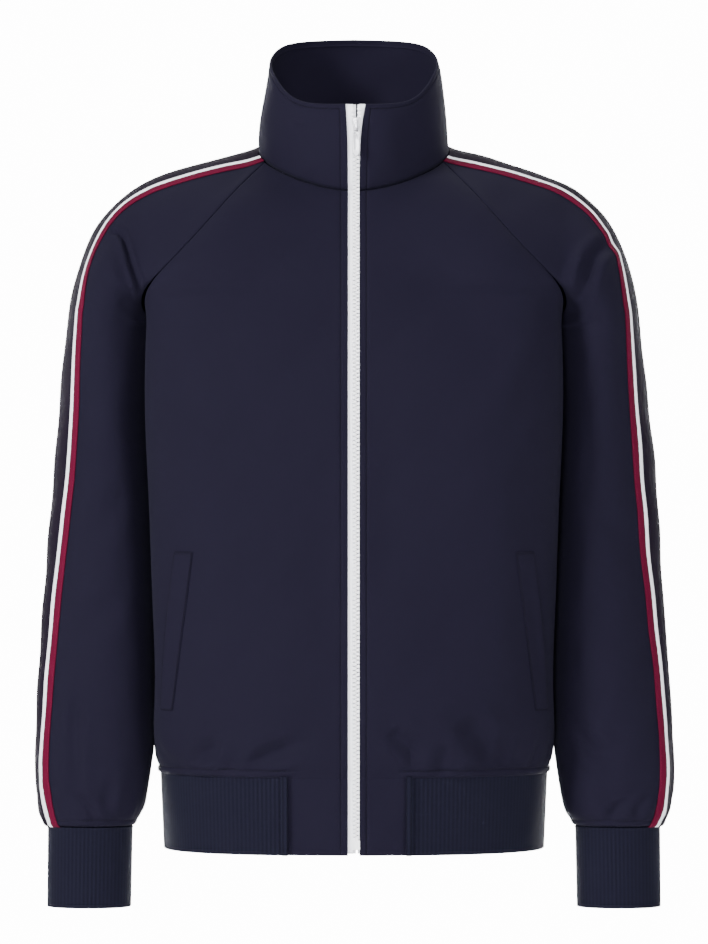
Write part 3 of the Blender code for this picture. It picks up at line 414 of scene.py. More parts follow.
def sleeve_rows(rows, t):
    """Points of the sleeve. t runs from the front or inner seam, at -1, over the shoulder line, at 0, to 1."""
    rows, t = np.asarray(rows, float), np.asarray(t, float)
    upper = np.clip(rows, 0, UNDERARM_ROW)
    ring = np.clip(rows, UNDERARM_ROW, WAIST_ROW)
    levels = np.arange(UNDERARM_ROW, WAIST_ROW + 1)
    rings = {name: spline(levels, column, ring)
             for name, column in zip(SLEEVE_COLUMNS, np.array(SLEEVE, float).T)}
    out = np.array([(r[3], r[4], -r[2]) for r in SLEEVE[1:]])
    top = spline(np.arange(WAIST_ROW + 1), np.vstack([TOP_POINTS, out]), rows)
    inner_y = rings["y"] + (UNDERARM_Y - SLEEVE[0][4]) * np.clip(1 - (ring - UNDERARM_ROW) / 3, 0, 1)
    inner = np.stack([rings["x_in"], inner_y, -rings["drop_in"]], axis=-1)
    share = wrap_share(upper)
    is_ring = (rows > UNDERARM_ROW)[:, None]
    over = unit(spline(LEVELS, TOP_ACROSS, upper))
    above = UNDERARM_ROW - upper
    reach_in = (rings["reach_in"] + UPPER_REACH_IN * above)[:, None]
    reach_out = (rings["reach_out"] + UPPER_REACH_OUT * above)[:, None]
    t = np.atleast_2d(t)
    halves = []
    for sign, seam, across in ((-1, FRONT_POINTS, FRONT_ACROSS), (1, BACK_POINTS, BACK_ACROSS)):
        edge = spline(LEVELS, seam, upper)
        start = np.where(is_ring, inner, pinched(edge))
        chord = np.linalg.norm(top - start, axis=1, keepdims=True)
        wrap1, wrap2 = sleeve_handles(start, top, sign, reach_in, reach_out)
        p1 = blend(start + unit(spline(LEVELS, across, upper)) * SLEEVE_SEAM_HANDLE * chord, wrap1, share)
        p2 = blend(top + sign * over * SHOULDER_HANDLE * chord, wrap2, share)
        lean = rings["lean"]
        along = np.stack([lean, sign * np.sqrt(1 - lean**2), 0 * lean], axis=-1)
        p1 = np.where(is_ring, start + along * reach_in, p1)
        p2 = np.where(is_ring, top + np.array([0, sign, 0]) * reach_out, p2)
        halves.append(bezier(start, p1, p2, top, 1 - np.abs(t)))
    return np.where(t[..., None] < 0, *halves)


def outward(surface, rows, t, flip):
    """Normals of a surface function at each row and t, by small steps."""
    step = 1e-3
    rows, t = np.asarray(rows, float), np.asarray(t, float)
    low, high = rows.min(), rows.max()
    down = surface(np.clip(rows + step, low, high), t) - surface(np.clip(rows - step, low, high), t)
    ahead = surface(rows, np.clip(t + step, t.min(), t.max()))
    across = ahead - surface(rows, np.clip(t - step, t.min(), t.max()))
    return flip * unit(np.cross(across, down))


def lengths(points):
    """Distance along a line of points, or along each row of a grid."""
    steps = np.linalg.norm(np.diff(points, axis=-2), axis=-1)
    start = np.zeros(steps.shape[:-1] + (1,))
    return np.concatenate([start, np.cumsum(steps, axis=-1)], axis=-1)


def point_at(at, along, line):
    """The point of a line, or the points, at places along it."""
    return np.stack([np.interp(at, along, column) for column in line.T], axis=-1)


def closest(values, wanted):
    """Which of some values lies closest to the one wanted."""
    return int(np.abs(values - wanted).argmin())


def pushed_in(points, normals, depth):
    """Points moved in from their surface, each by its own depth."""
    return points - normals * depth[..., None]


def t_at_x(rows, xs):
    """Where each row of the front reaches the distances xs from the centre line."""
    fine = np.linspace(0, 1, FINE)
    across = front_rows(rows, fine)[..., 0]
    return np.array([np.interp(xs, line, fine) for line in across])


def t_at_reach(rows, reach):
    """Where each row of the sleeve is at its distances from the shoulder line, in front of it if negative."""
    fine = np.linspace(0, 1, FINE)
    ahead, behind = (lengths(sleeve_rows(rows, sign * (fine + 1e-9))) for sign in (-1, 1))
    return np.array([np.where(places < 0, -np.interp(-places, front, fine), np.interp(places, back, fine))
                     for places, front, back in zip(reach, ahead, behind)])


def towards_sleeve(rows, across):
    """The direction over the seam from the torso to the sleeve, at each row down to the underarm."""
    upper = np.clip(rows, 0, UNDERARM_ROW)
    folded = spline(LEVELS, FOLDED_IN, upper)[:, None]
    return unit((1 - folded) * spline(LEVELS, across, upper) + folded * np.array([1.0, 0, 0]))


def torso_edge_shift(rows, sign, across):
    """How far the torso's edge stands back from the middle of the raglan seam or of the side seam."""
    at_sleeve = (rows <= UNDERARM_ROW)[:, None] * -towards_sleeve(rows, across)
    at_side = (rows >= UNDERARM_ROW)[:, None] * np.array([0, sign, 0])
    return (at_sleeve + at_side) * SEAM_GAP / 2


def sleeve_edge_shift(rows, across):
    """How far the sleeve's edge stands out from the middle of the raglan seam."""
    return (rows <= UNDERARM_ROW)[:, None] * towards_sleeve(rows, across) * SEAM_GAP / 2


def neck_row(angle):
    """The neck seam as the body's pieces meet it, at angles round the neck from 0 in front to pi behind."""
    angle = np.asarray(angle, float)
    front = front_rows([0], angle / FRONT_SEAM_ANGLE)[0]
    back = back_rows([0], (math.pi - angle) / (math.pi - BACK_SEAM_ANGLE))[0]
    t = np.interp(angle, (FRONT_SEAM_ANGLE, SHOULDER_ANGLE, BACK_SEAM_ANGLE), (-1, 0, 1))
    side = sleeve_rows([0], t)[0]
    side = np.where((angle < FRONT_SEAM_ANGLE)[:, None], front, side)
    return np.where((angle > BACK_SEAM_ANGLE)[:, None], back, side)


def rim_row(angle):
    """The collar's rim at angles round the neck."""
    height = spline(np.radians([a for a, _ in COLLAR_RIM]), [z for _, z in COLLAR_RIM], angle)
    return np.stack([RIM_HALF_WIDTH * np.sin(angle), RIM_CENTRE_Y - RIM_HALF_DEPTH * np.cos(angle), height],
                    axis=-1)


def collar_rows(rows, low, high):
    """Points of one half of the collar. low and high are the angles of each column at seam and rim."""
    rows = np.asarray(rows, float)[:, None, None]
    base, rim = neck_row(low)[None], rim_row(high)[None]
    bulge = np.stack([COLLAR_SIDE_BULGE * np.sin(low), -COLLAR_BULGE * np.cos(low), 0 * low], axis=-1)[None]
    return base + (rim - base) * rows + bulge * 4 * rows * (1 - rows)


def collar_angles(bottom_x, top_x):
    """Angles on the neck seam and on the rim that are at a distance from the centre."""
    fine = np.linspace(0, FRONT_SEAM_ANGLE, 401)
    return np.interp(bottom_x, neck_row(fine)[:, 0], fine), math.asin(top_x / RIM_HALF_WIDTH)


def mirrored(points):
    """Points of the other side of the jacket."""
    return points * np.array([-1.0, 1.0, 1.0])


def unchanged(points):
    """Points of the side that the tables give."""
    return points


SIDES = (("left", unchanged), ("right", mirrored))


# ---- Folds and creases of the finished cloth ----

# Creases by piece and the way that they face. Each has the (x, z) points it passes through, or (y, z) where
# it faces the side, its width and its depth. A negative depth is a ridge.
CREASES = {
    ("front_right", "front"): (
        (((-156, -580), (-140, -567), (-124, -554)), 8, 3.6),
        (((-98, -578), (-74, -566), (-46, -555)), 7, 2.8),
        (((-168, -590), (-160, -570), (-157, -545)), 8, 1.6),
        (((-120, -592), (-112, -574), (-108, -556)), 7, 1.2),
        (((-192, -196), (-165, -226), (-132, -272)), 15, 1.6),
        (((-60, -100), (-100, -150), (-150, -190)), 26, 1.0),
        (((-178, -300), (-160, -370), (-158, -450)), 18, 1.2),
        (((-24, -320), (-30, -400), (-26, -480)), 16, 0.8),
    ),
    ("front_left", "front"): (
        (((34, -544), (46, -556), (60, -572)), 8, 2.4),
        (((100, -536), (116, -554), (130, -578)), 11, 3.4),
        (((146, -552), (140, -566), (138, -590)), 7, 1.8),
        (((78, -592), (84, -572), (98, -556)), 7, 1.2),
        (((193, -192), (176, -222), (140, -280)), 15, 1.6),
        (((64, -110), (104, -160), (150, -200)), 26, 1.0),
        (((182, -290), (172, -350), (176, -420)), 16, 1.2),
        (((22, -240), (30, -330), (24, -430)), 16, 0.8),
    ),
    ("back", "back"): (
        (((-186, -180), (-150, -230), (-96, -262)), 15, 2.2),
        (((188, -184), (150, -242), (104, -288)), 14, 2.2),
        (((-150, -594), (-140, -566), (-120, -536)), 9, 2.2),
        (((-96, -594), (-92, -560), (-70, -520)), 10, 2.0),
        (((-34, -594), (-30, -570), (-12, -540)), 8, 1.6),
        (((28, -594), (22, -562), (34, -530)), 9, 1.8),
        (((86, -594), (80, -566), (60, -542)), 8, 1.8),
        (((148, -594), (150, -560), (134, -520)), 10, 2.0),
        (((-60, -60), (-20, -120), (-10, -220)), 30, 1.2),
        (((66, -66), (24, -130), (14, -240)), 28, 1.1),
    ),
    ("sleeve_right", "front"): (
        (((-227, -79), (-219, -83), (-213, -98), (-208, -114), (-201, -135), (-198, -151)), 2.2, 3.4),
        (((-259, -514), (-262, -560), (-258, -612)), 6, 2.0),
        (((-243, -634), (-250, -618), (-262, -606)), 4, 1.8),
        (((-226, -632), (-230, -612), (-227, -590)), 5, 1.4),
        (((-284, -634), (-286, -616), (-284, -596)), 5, 1.2),
        (((-214, -320), (-236, -352), (-262, -366)), 13, 1.4),
        (((-222, -420), (-240, -440), (-266, -446)), 12, 1.0),
    ),
    ("sleeve_right", "back"): (
        (((-214, -330), (-240, -352), (-268, -362)), 12, 2.2),
        (((-216, -386), (-240, -396), (-270, -390)), 11, 1.8),
        (((-220, -590), (-232, -606), (-240, -634)), 8, 1.8),
        (((-262, -596), (-266, -614), (-264, -634)), 7, 1.6),
    ),
    ("sleeve_right", "side"): (
        (((-30, -612), (-24, -590), (-26, -560)), 8, 1.4),
        (((10, -612), (4, -586), (8, -550)), 9, 1.4),
    ),
    ("sleeve_left", "front"): (
        (((240, -92), (226, -103), (218, -122), (212, -146)), 6.0, 4.0),
        (((214, -100), (208, -122), (206, -140)), 6, -1.4),
        (((207, -545), (220, -562), (238, -574)), 8, 2.4),
        (((238, -634), (248, -620), (262, -614)), 4, 1.6),
        (((264, -634), (270, -618), (282, -608)), 4, 1.2),
        (((216, -330), (240, -356), (266, -364)), 13, 1.2),
        (((222, -448), (244, -462), (270, -462)), 12, 1.0),
    ),
    ("sleeve_left", "back"): (
        (((214, -312), (242, -338), (270, -346)), 12, 2.2),
        (((218, -372), (244, -384), (272, -376)), 11, 1.8),
        (((222, -588), (236, -608), (242, -634)), 8, 1.8),
        (((266, -590), (268, -612), (262, -634)), 7, 1.6),
    ),
    ("sleeve_left", "side"): (
        (((-34, -612), (-28, -588), (-30, -556)), 8, 1.4),
        (((6, -612), (2, -590), (8, -556)), 9, 1.4),
    ),
    ("collar", "front"): (
        (((-52, 22), (-58, -4), (-66, -24)), 12, 0.9),
        (((56, 26), (52, 2), (60, -20)), 12, 0.9),
    ),
    ("collar", "back"): (
        (((-40, 96), (-44, 66), (-36, 34)), 12, 0.8),
        (((38, 98), (46, 64), (40, 32)), 12, 0.8),
    ),
}
CREASE_SHOULDER = 0.3
UNEVEN = 0.55
UNEVEN_PHASE = {"front_right": 0.4, "front_left": 2.3, "back": 4.1, "sleeve_right": 1.2, "sleeve_left": 5.3,
                "collar": 3.2}
UNEVEN_WAVES = ((0.043, 0.011, 0.021, 1.0, 1.0), (-0.057, 0.02, 0.031, 0.7, 2.1),
                (0.012, 0.047, 0.083, 0.6, 1.3), (0.11, -0.05, -0.09, 0.4, 3.1))
PUCKER_DEPTH = 0.8
PUCKER_WAVES = ((0.21, 1.0), (0.137, 0.8), (0.34, 0.5))


def facing_share(points, facing):
    """How much each point belongs to the front of the jacket, if facing is -1, or to its back, if it is 1."""
    return 1 / (1 + np.exp(np.clip(-facing * points[..., 1] / FOLD_TURN, -30, 30)))


def folds_at(points, tables, end_drop):
    """How far the main folds push in each point of the cloth. They fade out at the seam at end_drop."""
    depth = np.zeros(points.shape[:-1])
    place = np.stack([np.abs(points[..., 0]), points[..., 2]], axis=-1)
    for table, facing in zip(tables, (-1, 1)):
        side = facing_share(points, facing)
        for x0, z0, x1, z1, width, deep in table:
            start, run = np.array([x0, z0]), np.array([x1 - x0, z1 - z0])
            along = np.clip((place - start) @ run / (run @ run), 0, 1)
            away = np.linalg.norm(place - start - along[..., None] * run, axis=-1)
            depth += side * deep * np.exp(-(away / width)**2) * (1 - FOLD_TAPER * along)
    return depth * smooth_ramp((points[..., 2] + end_drop) / FOLD_FADE)


def crease_depth(points, piece):
    """How far a piece's creases push in each of its points."""
    depth = np.zeros(points.shape[:-1])
    views = {"front": (0, facing_share(points, -1)), "back": (0, facing_share(points, 1)),
             "side": (1, smooth_ramp((np.abs(points[..., 0]) - 250) / 20))}
    rows = [(*views[facing], *row) for (owner, facing), group in CREASES.items() if owner == piece
            for row in group]
    for axis, side, path, width, deep in rows:
        path = np.array(path, float)
        knots = np.arange(len(path))
        reach = np.linalg.norm(np.diff(path, axis=0), axis=1).sum()
        fine = np.linspace(0, knots[-1], max(8, int(2.5 * reach / width)))
        line = spline(knots, path, fine)
        place = points[..., [axis, 2]]
        near = (np.abs(place - line.mean(axis=0)) < reach / 2 + 4 * width + 10).all(axis=-1)
        gaps = np.linalg.norm(place[near][:, None] - line, axis=-1)
        at = gaps.argmin(axis=1)
        away, along = gaps.min(axis=1) / width, at / (len(fine) - 1)
        shape = np.exp(-away**2) - CREASE_SHOULDER * np.exp(-((away - 2) / 0.9)**2)
        fade = smooth_ramp((along + 0.12) / 0.35) * smooth_ramp((1.12 - along) / 0.5)
        depth[near] += side[near] * deep * shape * fade
    return depth


def unevenness(points, piece):
    """Slow, shallow waves that no worn cloth is without."""
    phase = UNEVEN_PHASE[piece]
    total = sum(size * np.sin(points @ np.array([a, b, c]) + phase * turn)
                for a, b, c, size, turn in UNEVEN_WAVES)
    return UNEVEN * total


def puckers(points, seam_drop, reach, deep):
    """Short upright troughs where cloth is eased into a ribbed band below it."""
    above = points[..., 2] + seam_drop
    around = points[..., 0] + 1.3 * points[..., 1]
    wave = sum(size * np.sin(around * rate + 2.7 * rate * 10) for rate, size in PUCKER_WAVES)
    return deep * wave * smooth_ramp(above / 10) * smooth_ramp((reach - above) / reach)


# ---- Shells ----

EDGE_OFFSETS = (0, 0.12, 0.4, 0.8, 1.5, 2.6)
SEAM_SINK = 0.95
SEAM_SPREAD = 2.8
EDGE_LEFT = 0.04
STITCH_OFFSETS = (-1.5, -0.8, -0.4, 0, 0.4, 0.8, 1.5)
STITCH_GROOVE = 0.7
STITCH_SPREAD = 0.75
FRONT_STITCH = 6.5
RIM_STITCH = 5.0
WAIST_STITCH = 7.0
CUFF_STITCH = 6.0


def spaced(total, step, start=EDGE_OFFSETS, end=EDGE_OFFSETS, marks=()):
    """Rising places from 0 to total, a step apart, close together at both ends and round each mark."""
    fine = [*start, *(total - x for x in end), *(mark + x for mark in marks for x in STITCH_OFFSETS)]
    fine = sorted(x for x in fine if 0 <= x <= total)
    plain = [x for x in np.linspace(0, total, max(2, round(total / step) + 1))
             if min(abs(x - y) for y in fine) > 0.45 * step]
    return np.array(sorted({round(float(x), 4) for x in (*fine, *plain)}))


def rows_by_length(surface, low, high, step, marks_up=()):
    """Rows of a surface that are a step apart along its centre line. marks_up are measured up from high."""
    fine = np.linspace(low, high, 400)
    length = lengths(surface(fine, [0.0])[:, 0])
    wanted = spaced(length[-1], step, marks=[length[-1] - mark for mark in marks_up])
    return np.interp(wanted, length, fine)


def nearest(points, line):
    """Distance of each point of a grid from a line of points."""
    path = np.concatenate([blend(line[:-1], line[1:], share) for share in (0, 0.25, 0.5, 0.75)] + [line[-1:]])
    tree = KDTree(len(path))
    for i, point in enumerate(path):
        tree.insert(point, i)
    tree.balance()
    flat = points.reshape(-1, 3)
    return np.array([tree.find(point)[2] for point in flat]).reshape(points.shape[:-1])


def added(name, data):
    """A new object in the scene, with its mesh, light or camera."""
    obj = bpy.data.objects.new(name, data)
    bpy.context.scene.collection.objects.link(obj)
    return obj


def new_object(name, points, faces, uvs, look, body="jacket"):
    """A mesh in metres as an object that rides on a body. uvs has one pair for each corner of each face."""
    mesh = bpy.data.meshes.new(name)
    mesh.from_pydata((np.asarray(points, float) * MM).tolist(), [], faces)
    if uvs is not None:
        layer = mesh.uv_layers.new(name="cloth")
        layer.uv.foreach_set("vector", (np.asarray(uvs, float) * MM).ravel())
    mesh.materials.append(finish(look))
    mesh.shade_smooth()
    obj = added(name, mesh)
    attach(obj, body)
    return obj


def volume(points, faces):
    """Six times the signed volume inside quads, to tell which way they face."""
    a, b, c, d = (points[faces[:, i]] for i in range(4))
    return (np.cross(a, b) * c).sum() + (np.cross(a, c) * d).sum()


def skin(name, outer, inner, uv, look, keep=None, closed_from=None):
    """A closed shell between two matching grids. From row closed_from on, each row is a closed ring."""
    rows, columns = outer.shape[:2]
    index = np.arange(rows * columns).reshape(rows, columns)
    if closed_from is not None:
        index[closed_from:, -1] = index[closed_from:, 0]
    cells = np.ones((rows - 1, columns - 1), bool) if keep is None else keep
    r, c = np.nonzero(cells)
    corners = ((r, c), (r, c + 1), (r + 1, c + 1), (r + 1, c))
    front = np.stack([index[place] for place in corners], axis=1)
    front_uv = np.stack([uv[place] for place in corners], axis=1)
    total = rows * columns
    sides, side_uv, seen = [], [], {}
    for loop, places in zip(front.tolist(), front_uv):
        for i in range(4):
            edge = (loop[i], loop[(i + 1) % 4])
            if edge[::-1] in seen:
                del seen[edge[::-1]]
            elif edge[0] != edge[1]:
                seen[edge] = (places[i], places[(i + 1) % 4])
    for (a, b), (uv_a, uv_b) in seen.items():
        sides.append([b, a, a + total, b + total])
        side_uv.append([uv_b, uv_a, uv_a, uv_b])
    faces = np.concatenate([front, front[:, ::-1] + total, np.array(sides)])
    uvs = np.concatenate([front_uv, front_uv[:, ::-1], np.array(side_uv)])
    points = np.concatenate([outer.reshape(-1, 3), inner.reshape(-1, 3)])
    if volume(points, faces) < 0:
        faces, uvs = faces[:, ::-1], uvs[:, ::-1]
    used, faces = np.unique(faces, return_inverse=True)
    return new_object(name, points[used], faces.reshape(-1, 4).tolist(), uvs, look)


def edge_turn(away, radius):
    """How far a free edge turns in, from its radius at the edge itself to 0 at that distance from it."""
    return radius - np.sqrt(np.clip(radius**2 - np.clip(radius - away, 0, radius)**2, 0, None))


def rounded(points, normals, thick, seams=(), edges=()):
    """Outer and inner grids of a cloth: sunk along its seams and rounded along its free edges."""
    away = np.full(points.shape[:-1], 1e3)
    sink = np.zeros(points.shape[:-1])
    for line in seams:
        gap = nearest(points, line)
        away = np.minimum(away, gap)
        sink = np.maximum(sink, SEAM_SINK * np.clip(1 - gap / SEAM_SPREAD, 0, 1)**2)
    for line in edges:
        away = np.minimum(away, nearest(points, line))
    turn = np.minimum(edge_turn(away, thick / 2), thick / 2 - EDGE_LEFT)
    return pushed_in(points, normals, sink + turn), pushed_in(points, normals, thick + sink - turn)


def groove(points, normals, line, deep=STITCH_GROOVE):
    """Points pressed in along a line of stitches."""
    return pushed_in(points, normals, deep * np.exp(-(nearest(points, line) / STITCH_SPREAD)**2))


def laid_out(points, start=0):
    """Texture places of a grid: across it from one of its columns, and down it along its middle column."""
    across = lengths(points)
    across = across - across[:, start:start + 1]
    down = lengths(np.swapaxes(points, 0, 1))[points.shape[1] // 2]
    return np.stack([across, np.broadcast_to(-down[:, None], across.shape)], axis=-1)


# ---- Stitching ----

STITCH_PITCH = 3.0
STITCH_LENGTH = 2.35
STITCH_BEND = 0.7
THREAD_RADIUS = 0.26
THREAD_RUN = 0.8


def modelled(obj):
    """Points and faces of a small shape in millimetres, whose object is then removed."""
    points = np.array([vertex.co for vertex in obj.data.vertices])
    faces = [list(face.vertices) for face in obj.data.polygons]
    bpy.data.objects.remove(obj)
    return points, faces


def stitch_shape():
    """One stitch, a short rounded bar along X that is modelled once and then copied along each seam."""
    bpy.ops.object.select_all(action="DESELECT")
    bpy.ops.mesh.primitive_uv_sphere_add(segments=6, ring_count=4, radius=1.0)
    obj = bpy.context.object
    obj.rotation_euler = (0, math.radians(90), 0)
    bpy.ops.object.transform_apply(location=False, rotation=True, scale=False)
    points, faces = modelled(obj)
    ends = np.sign(points[:, 0]) * smooth_ramp(np.abs(points[:, 0]) * 2)
    half = settings().stitches.length / MM / 2
    radius = settings().stitches.thread / MM
    points = points * radius
    points[:, 0] = ends * (half - radius) + points[:, 0]
    points[:, 2] -= (points[:, 0] / half)**2 * radius * STITCH_BEND
    return points, faces


def sewn(name, lines, look="thread", body="jacket"):
    """Stitches along lines of points with normals, as one piece."""
    shape, faces = stitch_shape()
    pitch = settings().stitches.pitch / MM
    points, loops = [], []
    for line, normals in lines:
        length = lengths(line)
        count = int(length[-1] / pitch)
        for k in range(count):
            at = (k + 0.5) * length[-1] / count
            middle, out = (point_at(at, length, grid) for grid in (line, normals))
            run = unit(point_at(at + THREAD_RUN, length, line) - point_at(at - THREAD_RUN, length, line))
            out = unit(out - run * (out @ run))
            side = np.cross(out, run)
            base = len(points) * len(shape)
            points.append(middle + shape @ np.stack([run, side, out]))
            loops += [[v + base for v in face] for face in faces]
    return new_object(name, np.concatenate(points), loops, None, look, body)


# ---- Finishes ----

RIB_ON_CLOTH = 4.0


class Term:
    """A shader socket that can stand in a Python sum."""

    def __init__(self, graph, socket):
        self.graph = graph
        self.socket = socket

    def math(self, operation, *others):
        values = dict(enumerate((self, *others)))
        return self.graph.node("Math", {"operation": operation}, values)

    def __add__(self, other):
        return self.math("ADD", other)

    __radd__ = __add__

    def __sub__(self, other):
        return self.math("SUBTRACT", other)

    def __rsub__(self, other):
        return self.graph.node("Math", {"operation": "SUBTRACT"}, {0: other, 1: self})

    def __mul__(self, other):
        return self.math("MULTIPLY", other)

    __rmul__ = __mul__

    def __truediv__(self, other):
        return self.math("DIVIDE", other)


class Graph:
    """The nodes of one material, which end in a Principled shader."""

    def __init__(self, name):
        self.material = bpy.data.materials.new(name)
        self.material.use_nodes = True
        self.tree = self.material.node_tree
        self.shader = self.tree.nodes["Principled BSDF"]

    def node(self, kind, settings=None, values=None, out=0):
        """A node of a kind, with its settings set first and then the values or links of its sockets."""
        made = self.tree.nodes.new("ShaderNode" + kind)
        for name, value in (settings or {}).items():
            setattr(made, name, value)
        self.fill(made, values or {})
        return Term(self, made.outputs[out])

    def fill(self, node, values):
        for name, value in values.items():
            if isinstance(value, Term):
                self.tree.links.new(value.socket, node.inputs[name])
            else:
                node.inputs[name].default_value = value

    def shade(self, **values):
        self.fill(self.shader, {name.replace("_", " "): value for name, value in values.items()})

    def places(self):
        """Places on the cloth in metres: across it and down it."""
        apart = self.tree.nodes.new("ShaderNodeSeparateXYZ")
        self.fill(apart, {0: self.node("UVMap", {"uv_map": "cloth"})})
        return Term(self, apart.outputs[0]), Term(self, apart.outputs[1])

    def solid_place(self):
        return self.node("TexCoord", out="Object")

    def noise(self, place, scale, detail=2.0, roughness=0.5):
        return self.node("TexNoise", {"noise_dimensions": "3D"},
                         {"Vector": place, "Scale": scale, "Detail": detail, "Roughness": roughness})

    def between(self, share, low, high):
        """A colour from low to high."""
        mix = self.tree.nodes.new("ShaderNodeMix")
        mix.data_type = "RGBA"
        self.fill(mix, {0: share})
        for i, colour in ((6, low), (7, high)):
            self.fill(mix, {i: colour if isinstance(colour, Term) else (*colour, 1)})
        return Term(self, mix.outputs[2])

    def bump(self, height, distance, strength=1.0, normal=None):
        values = {"Height": height, "Distance": distance, "Strength": strength}
        if normal is not None:
            values["Normal"] = normal
        return self.node("Bump", values=values)

    def step(self, value, edge, soft):
        """0 below an edge and 1 above it, with a soft change over a width."""
        return self.node("MapRange", {"interpolation_type": "SMOOTHSTEP"},
                         {"Value": value, "From Min": edge - soft / 2, "From Max": edge + soft / 2})

    def band(self, value, low, high, soft):
        return self.step(value, low, soft) - self.step(value, high, soft)

    def wave(self, value, pitch):
        """A round ridge at each pitch, from 0 in the valleys to 1 on the crests."""
        return (value * (2 * math.pi / pitch)).math("COSINE") * 0.5 + 0.5


def dyed(name):
    """One of the colours in the settings."""
    return tuple(getattr(settings().colours, name))


def shades(colour, factor):
    """A colour made lighter or darker."""
    return tuple(min(1.0, channel * factor) for channel in colour)


def knit(graph, across, down, wale, course):
    """Height of a plain knit: columns of slanting loops."""
    side = (across / wale).math("PINGPONG", 0.5) * 2
    loops = graph.wave(down + (across / wale).math("PINGPONG", 0.5) * course * 0.9, course)
    return side * 0.6 + loops * side * 0.4


def tricot():
    """The navy shell: a dense, brushed tricot knit with a faint sheen."""
    graph = Graph("tricot")
    across, down = graph.places()
    place = graph.solid_place()
    loops = knit(graph, across, down, 0.0009, 0.0011)
    cloudy = graph.noise(place, 14, 3.0)
    fuzz = graph.noise(place, 900, 4.0, 0.7)
    base = dyed("shell")
    colour = graph.between(cloudy, shades(base, 0.93), shades(base, 1.07))
    # Painted light: the tops of the knit's loops are lighter, as light falls on them, and the fuzz lightens the
    # cloth at random.
    colour = graph.between(fuzz * 0.35 + loops * 0.3, colour, shades(base, 1.45))
    graph.shade(Base_Color=colour, Roughness=0.74 + fuzz * 0.16,
                Normal=graph.bump(fuzz, 0.00012, 0.5, graph.bump(loops, 0.00016, 0.6)))
    graph.shade(Sheen_Weight=0.015, Sheen_Roughness=0.5, Sheen_Tint=(0.62, 0.66, 0.9, 1),
                Specular_IOR_Level=0.05)


def rib():
    """The rib knit of waistband and cuffs, a little bluer, with painted shade between its ribs."""
    graph = Graph("rib")
    across, down = graph.places()
    place = graph.solid_place()
    crest = 1 - graph.wave(across, RIB_ON_CLOTH * MM)
    loops = knit(graph, across, down, 0.00075, 0.0011)
    cloudy = graph.noise(place, 16, 3.0)
    fuzz = graph.noise(place, 1100, 4.0, 0.7)
    base = dyed("rib")
    # Painted shade: the cloth darkens between the ribs, where shade falls, and is lighter on their crests.
    colour = graph.between(crest, shades(base, 0.42), shades(base, 1.12))
    # Painted light: the tops of the knit's loops are lighter, as light falls on them, and the fuzz lightens the
    # cloth at random.
    colour = graph.between(loops * 0.25 + fuzz * 0.3, colour, shades(base, 1.5))
    colour = graph.between(cloudy * 0.25, colour, shades(base, 0.7))
    graph.shade(Base_Color=colour, Roughness=0.78 + fuzz * 0.14,
                Normal=graph.bump(fuzz, 0.00012, 0.5, graph.bump(loops, 0.0002, 0.7)))
    graph.shade(Sheen_Weight=0.015, Sheen_Roughness=0.5, Sheen_Tint=(0.6, 0.68, 0.95, 1),
                Specular_IOR_Level=0.05)


# Stripes of the side tape: the places of their edges across it in millimetres, from its front edge
RED_EDGE = 7.5
WHITE_EDGES = (8.3, 13.3)
WHITE_STRIPES = (WHITE_EDGES, (TAPE_WIDTH - WHITE_EDGES[1], TAPE_WIDTH - WHITE_EDGES[0]))
RED_STRIPES = ((-2.0, RED_EDGE), (TAPE_WIDTH - RED_EDGE, TAPE_WIDTH + 2.0))


def stripes():
    """The side tape: red, white and navy stripes of a fine cross-ribbed weave."""
    graph = Graph("stripes")
    across, down = graph.places()
    place = graph.solid_place()
    ribs = graph.wave(down, 0.0008)
    threads = graph.wave(across, 0.0006)
    fuzz = graph.noise(place, 1300, 3.0, 0.7)
    wobble = (graph.noise(place, 260, 2.0) - 0.5) * 0.0007
    edge = across + wobble
    white, red = (sum(graph.band(edge, low * MM, high * MM, 0.00035) for low, high in places)
                  for places in (WHITE_STRIPES, RED_STRIPES))
    colour = graph.between(red, shades(dyed("shell"), 0.9), dyed("red"))
    colour = graph.between(white, colour, dyed("white"))
    relief = ribs * 0.7 + threads * 0.3
    # Painted shade: the grooves between the weave's ribs and threads are darkened, and the fuzz darkens the
    # tape a little at random.
    colour = graph.between((1 - relief) * 0.3 + fuzz * 0.1, colour, (0.014, 0.004, 0.01))
    graph.shade(Base_Color=colour, Roughness=0.7 + fuzz * 0.2,
                Normal=graph.bump(relief, 0.00022, 0.8, graph.bump(fuzz, 0.0001, 0.4)), Specular_IOR_Level=0.03)


def thread_finish(name, colour):
    """Polyester sewing thread, twisted from two strands."""
    graph = Graph(name)
    place = graph.solid_place()
    twist = graph.noise(place, 2600, 2.0, 0.6)
    tone = graph.noise(place, 60, 2.0)
    base = graph.between(twist * 0.6 + tone * 0.4, shades(colour, 0.7), shades(colour, 1.35))
    graph.shade(Base_Color=base, Roughness=0.6 + twist * 0.2, Normal=graph.bump(twist, 0.0001, 0.6),
                Specular_IOR_Level=0.1)


def zip_weave():
    """The white zip tape, a fine twill."""
    graph = Graph("zip_tape")
    across, down = graph.places()
    place = graph.solid_place()
    twill = graph.wave(across + down, 0.0009)
    cord = graph.wave(down, 0.0007)
    fuzz = graph.noise(place, 1500, 3.0, 0.7)
    base = dyed("zip_white")
    # Painted shade: the tape darkens in the grooves of its twill and cords, and the fuzz darkens it a little at
    # random.
    dip = (1 - twill) * 0.35 + (1 - cord) * 0.2 + fuzz * 0.15
    graph.shade(Base_Color=graph.between(dip, base, shades(base, 0.62)), Roughness=0.62 + fuzz * 0.2,
                Normal=graph.bump(twill * 0.6 + cord * 0.4, 0.00018, 0.7), Sheen_Weight=0.1)


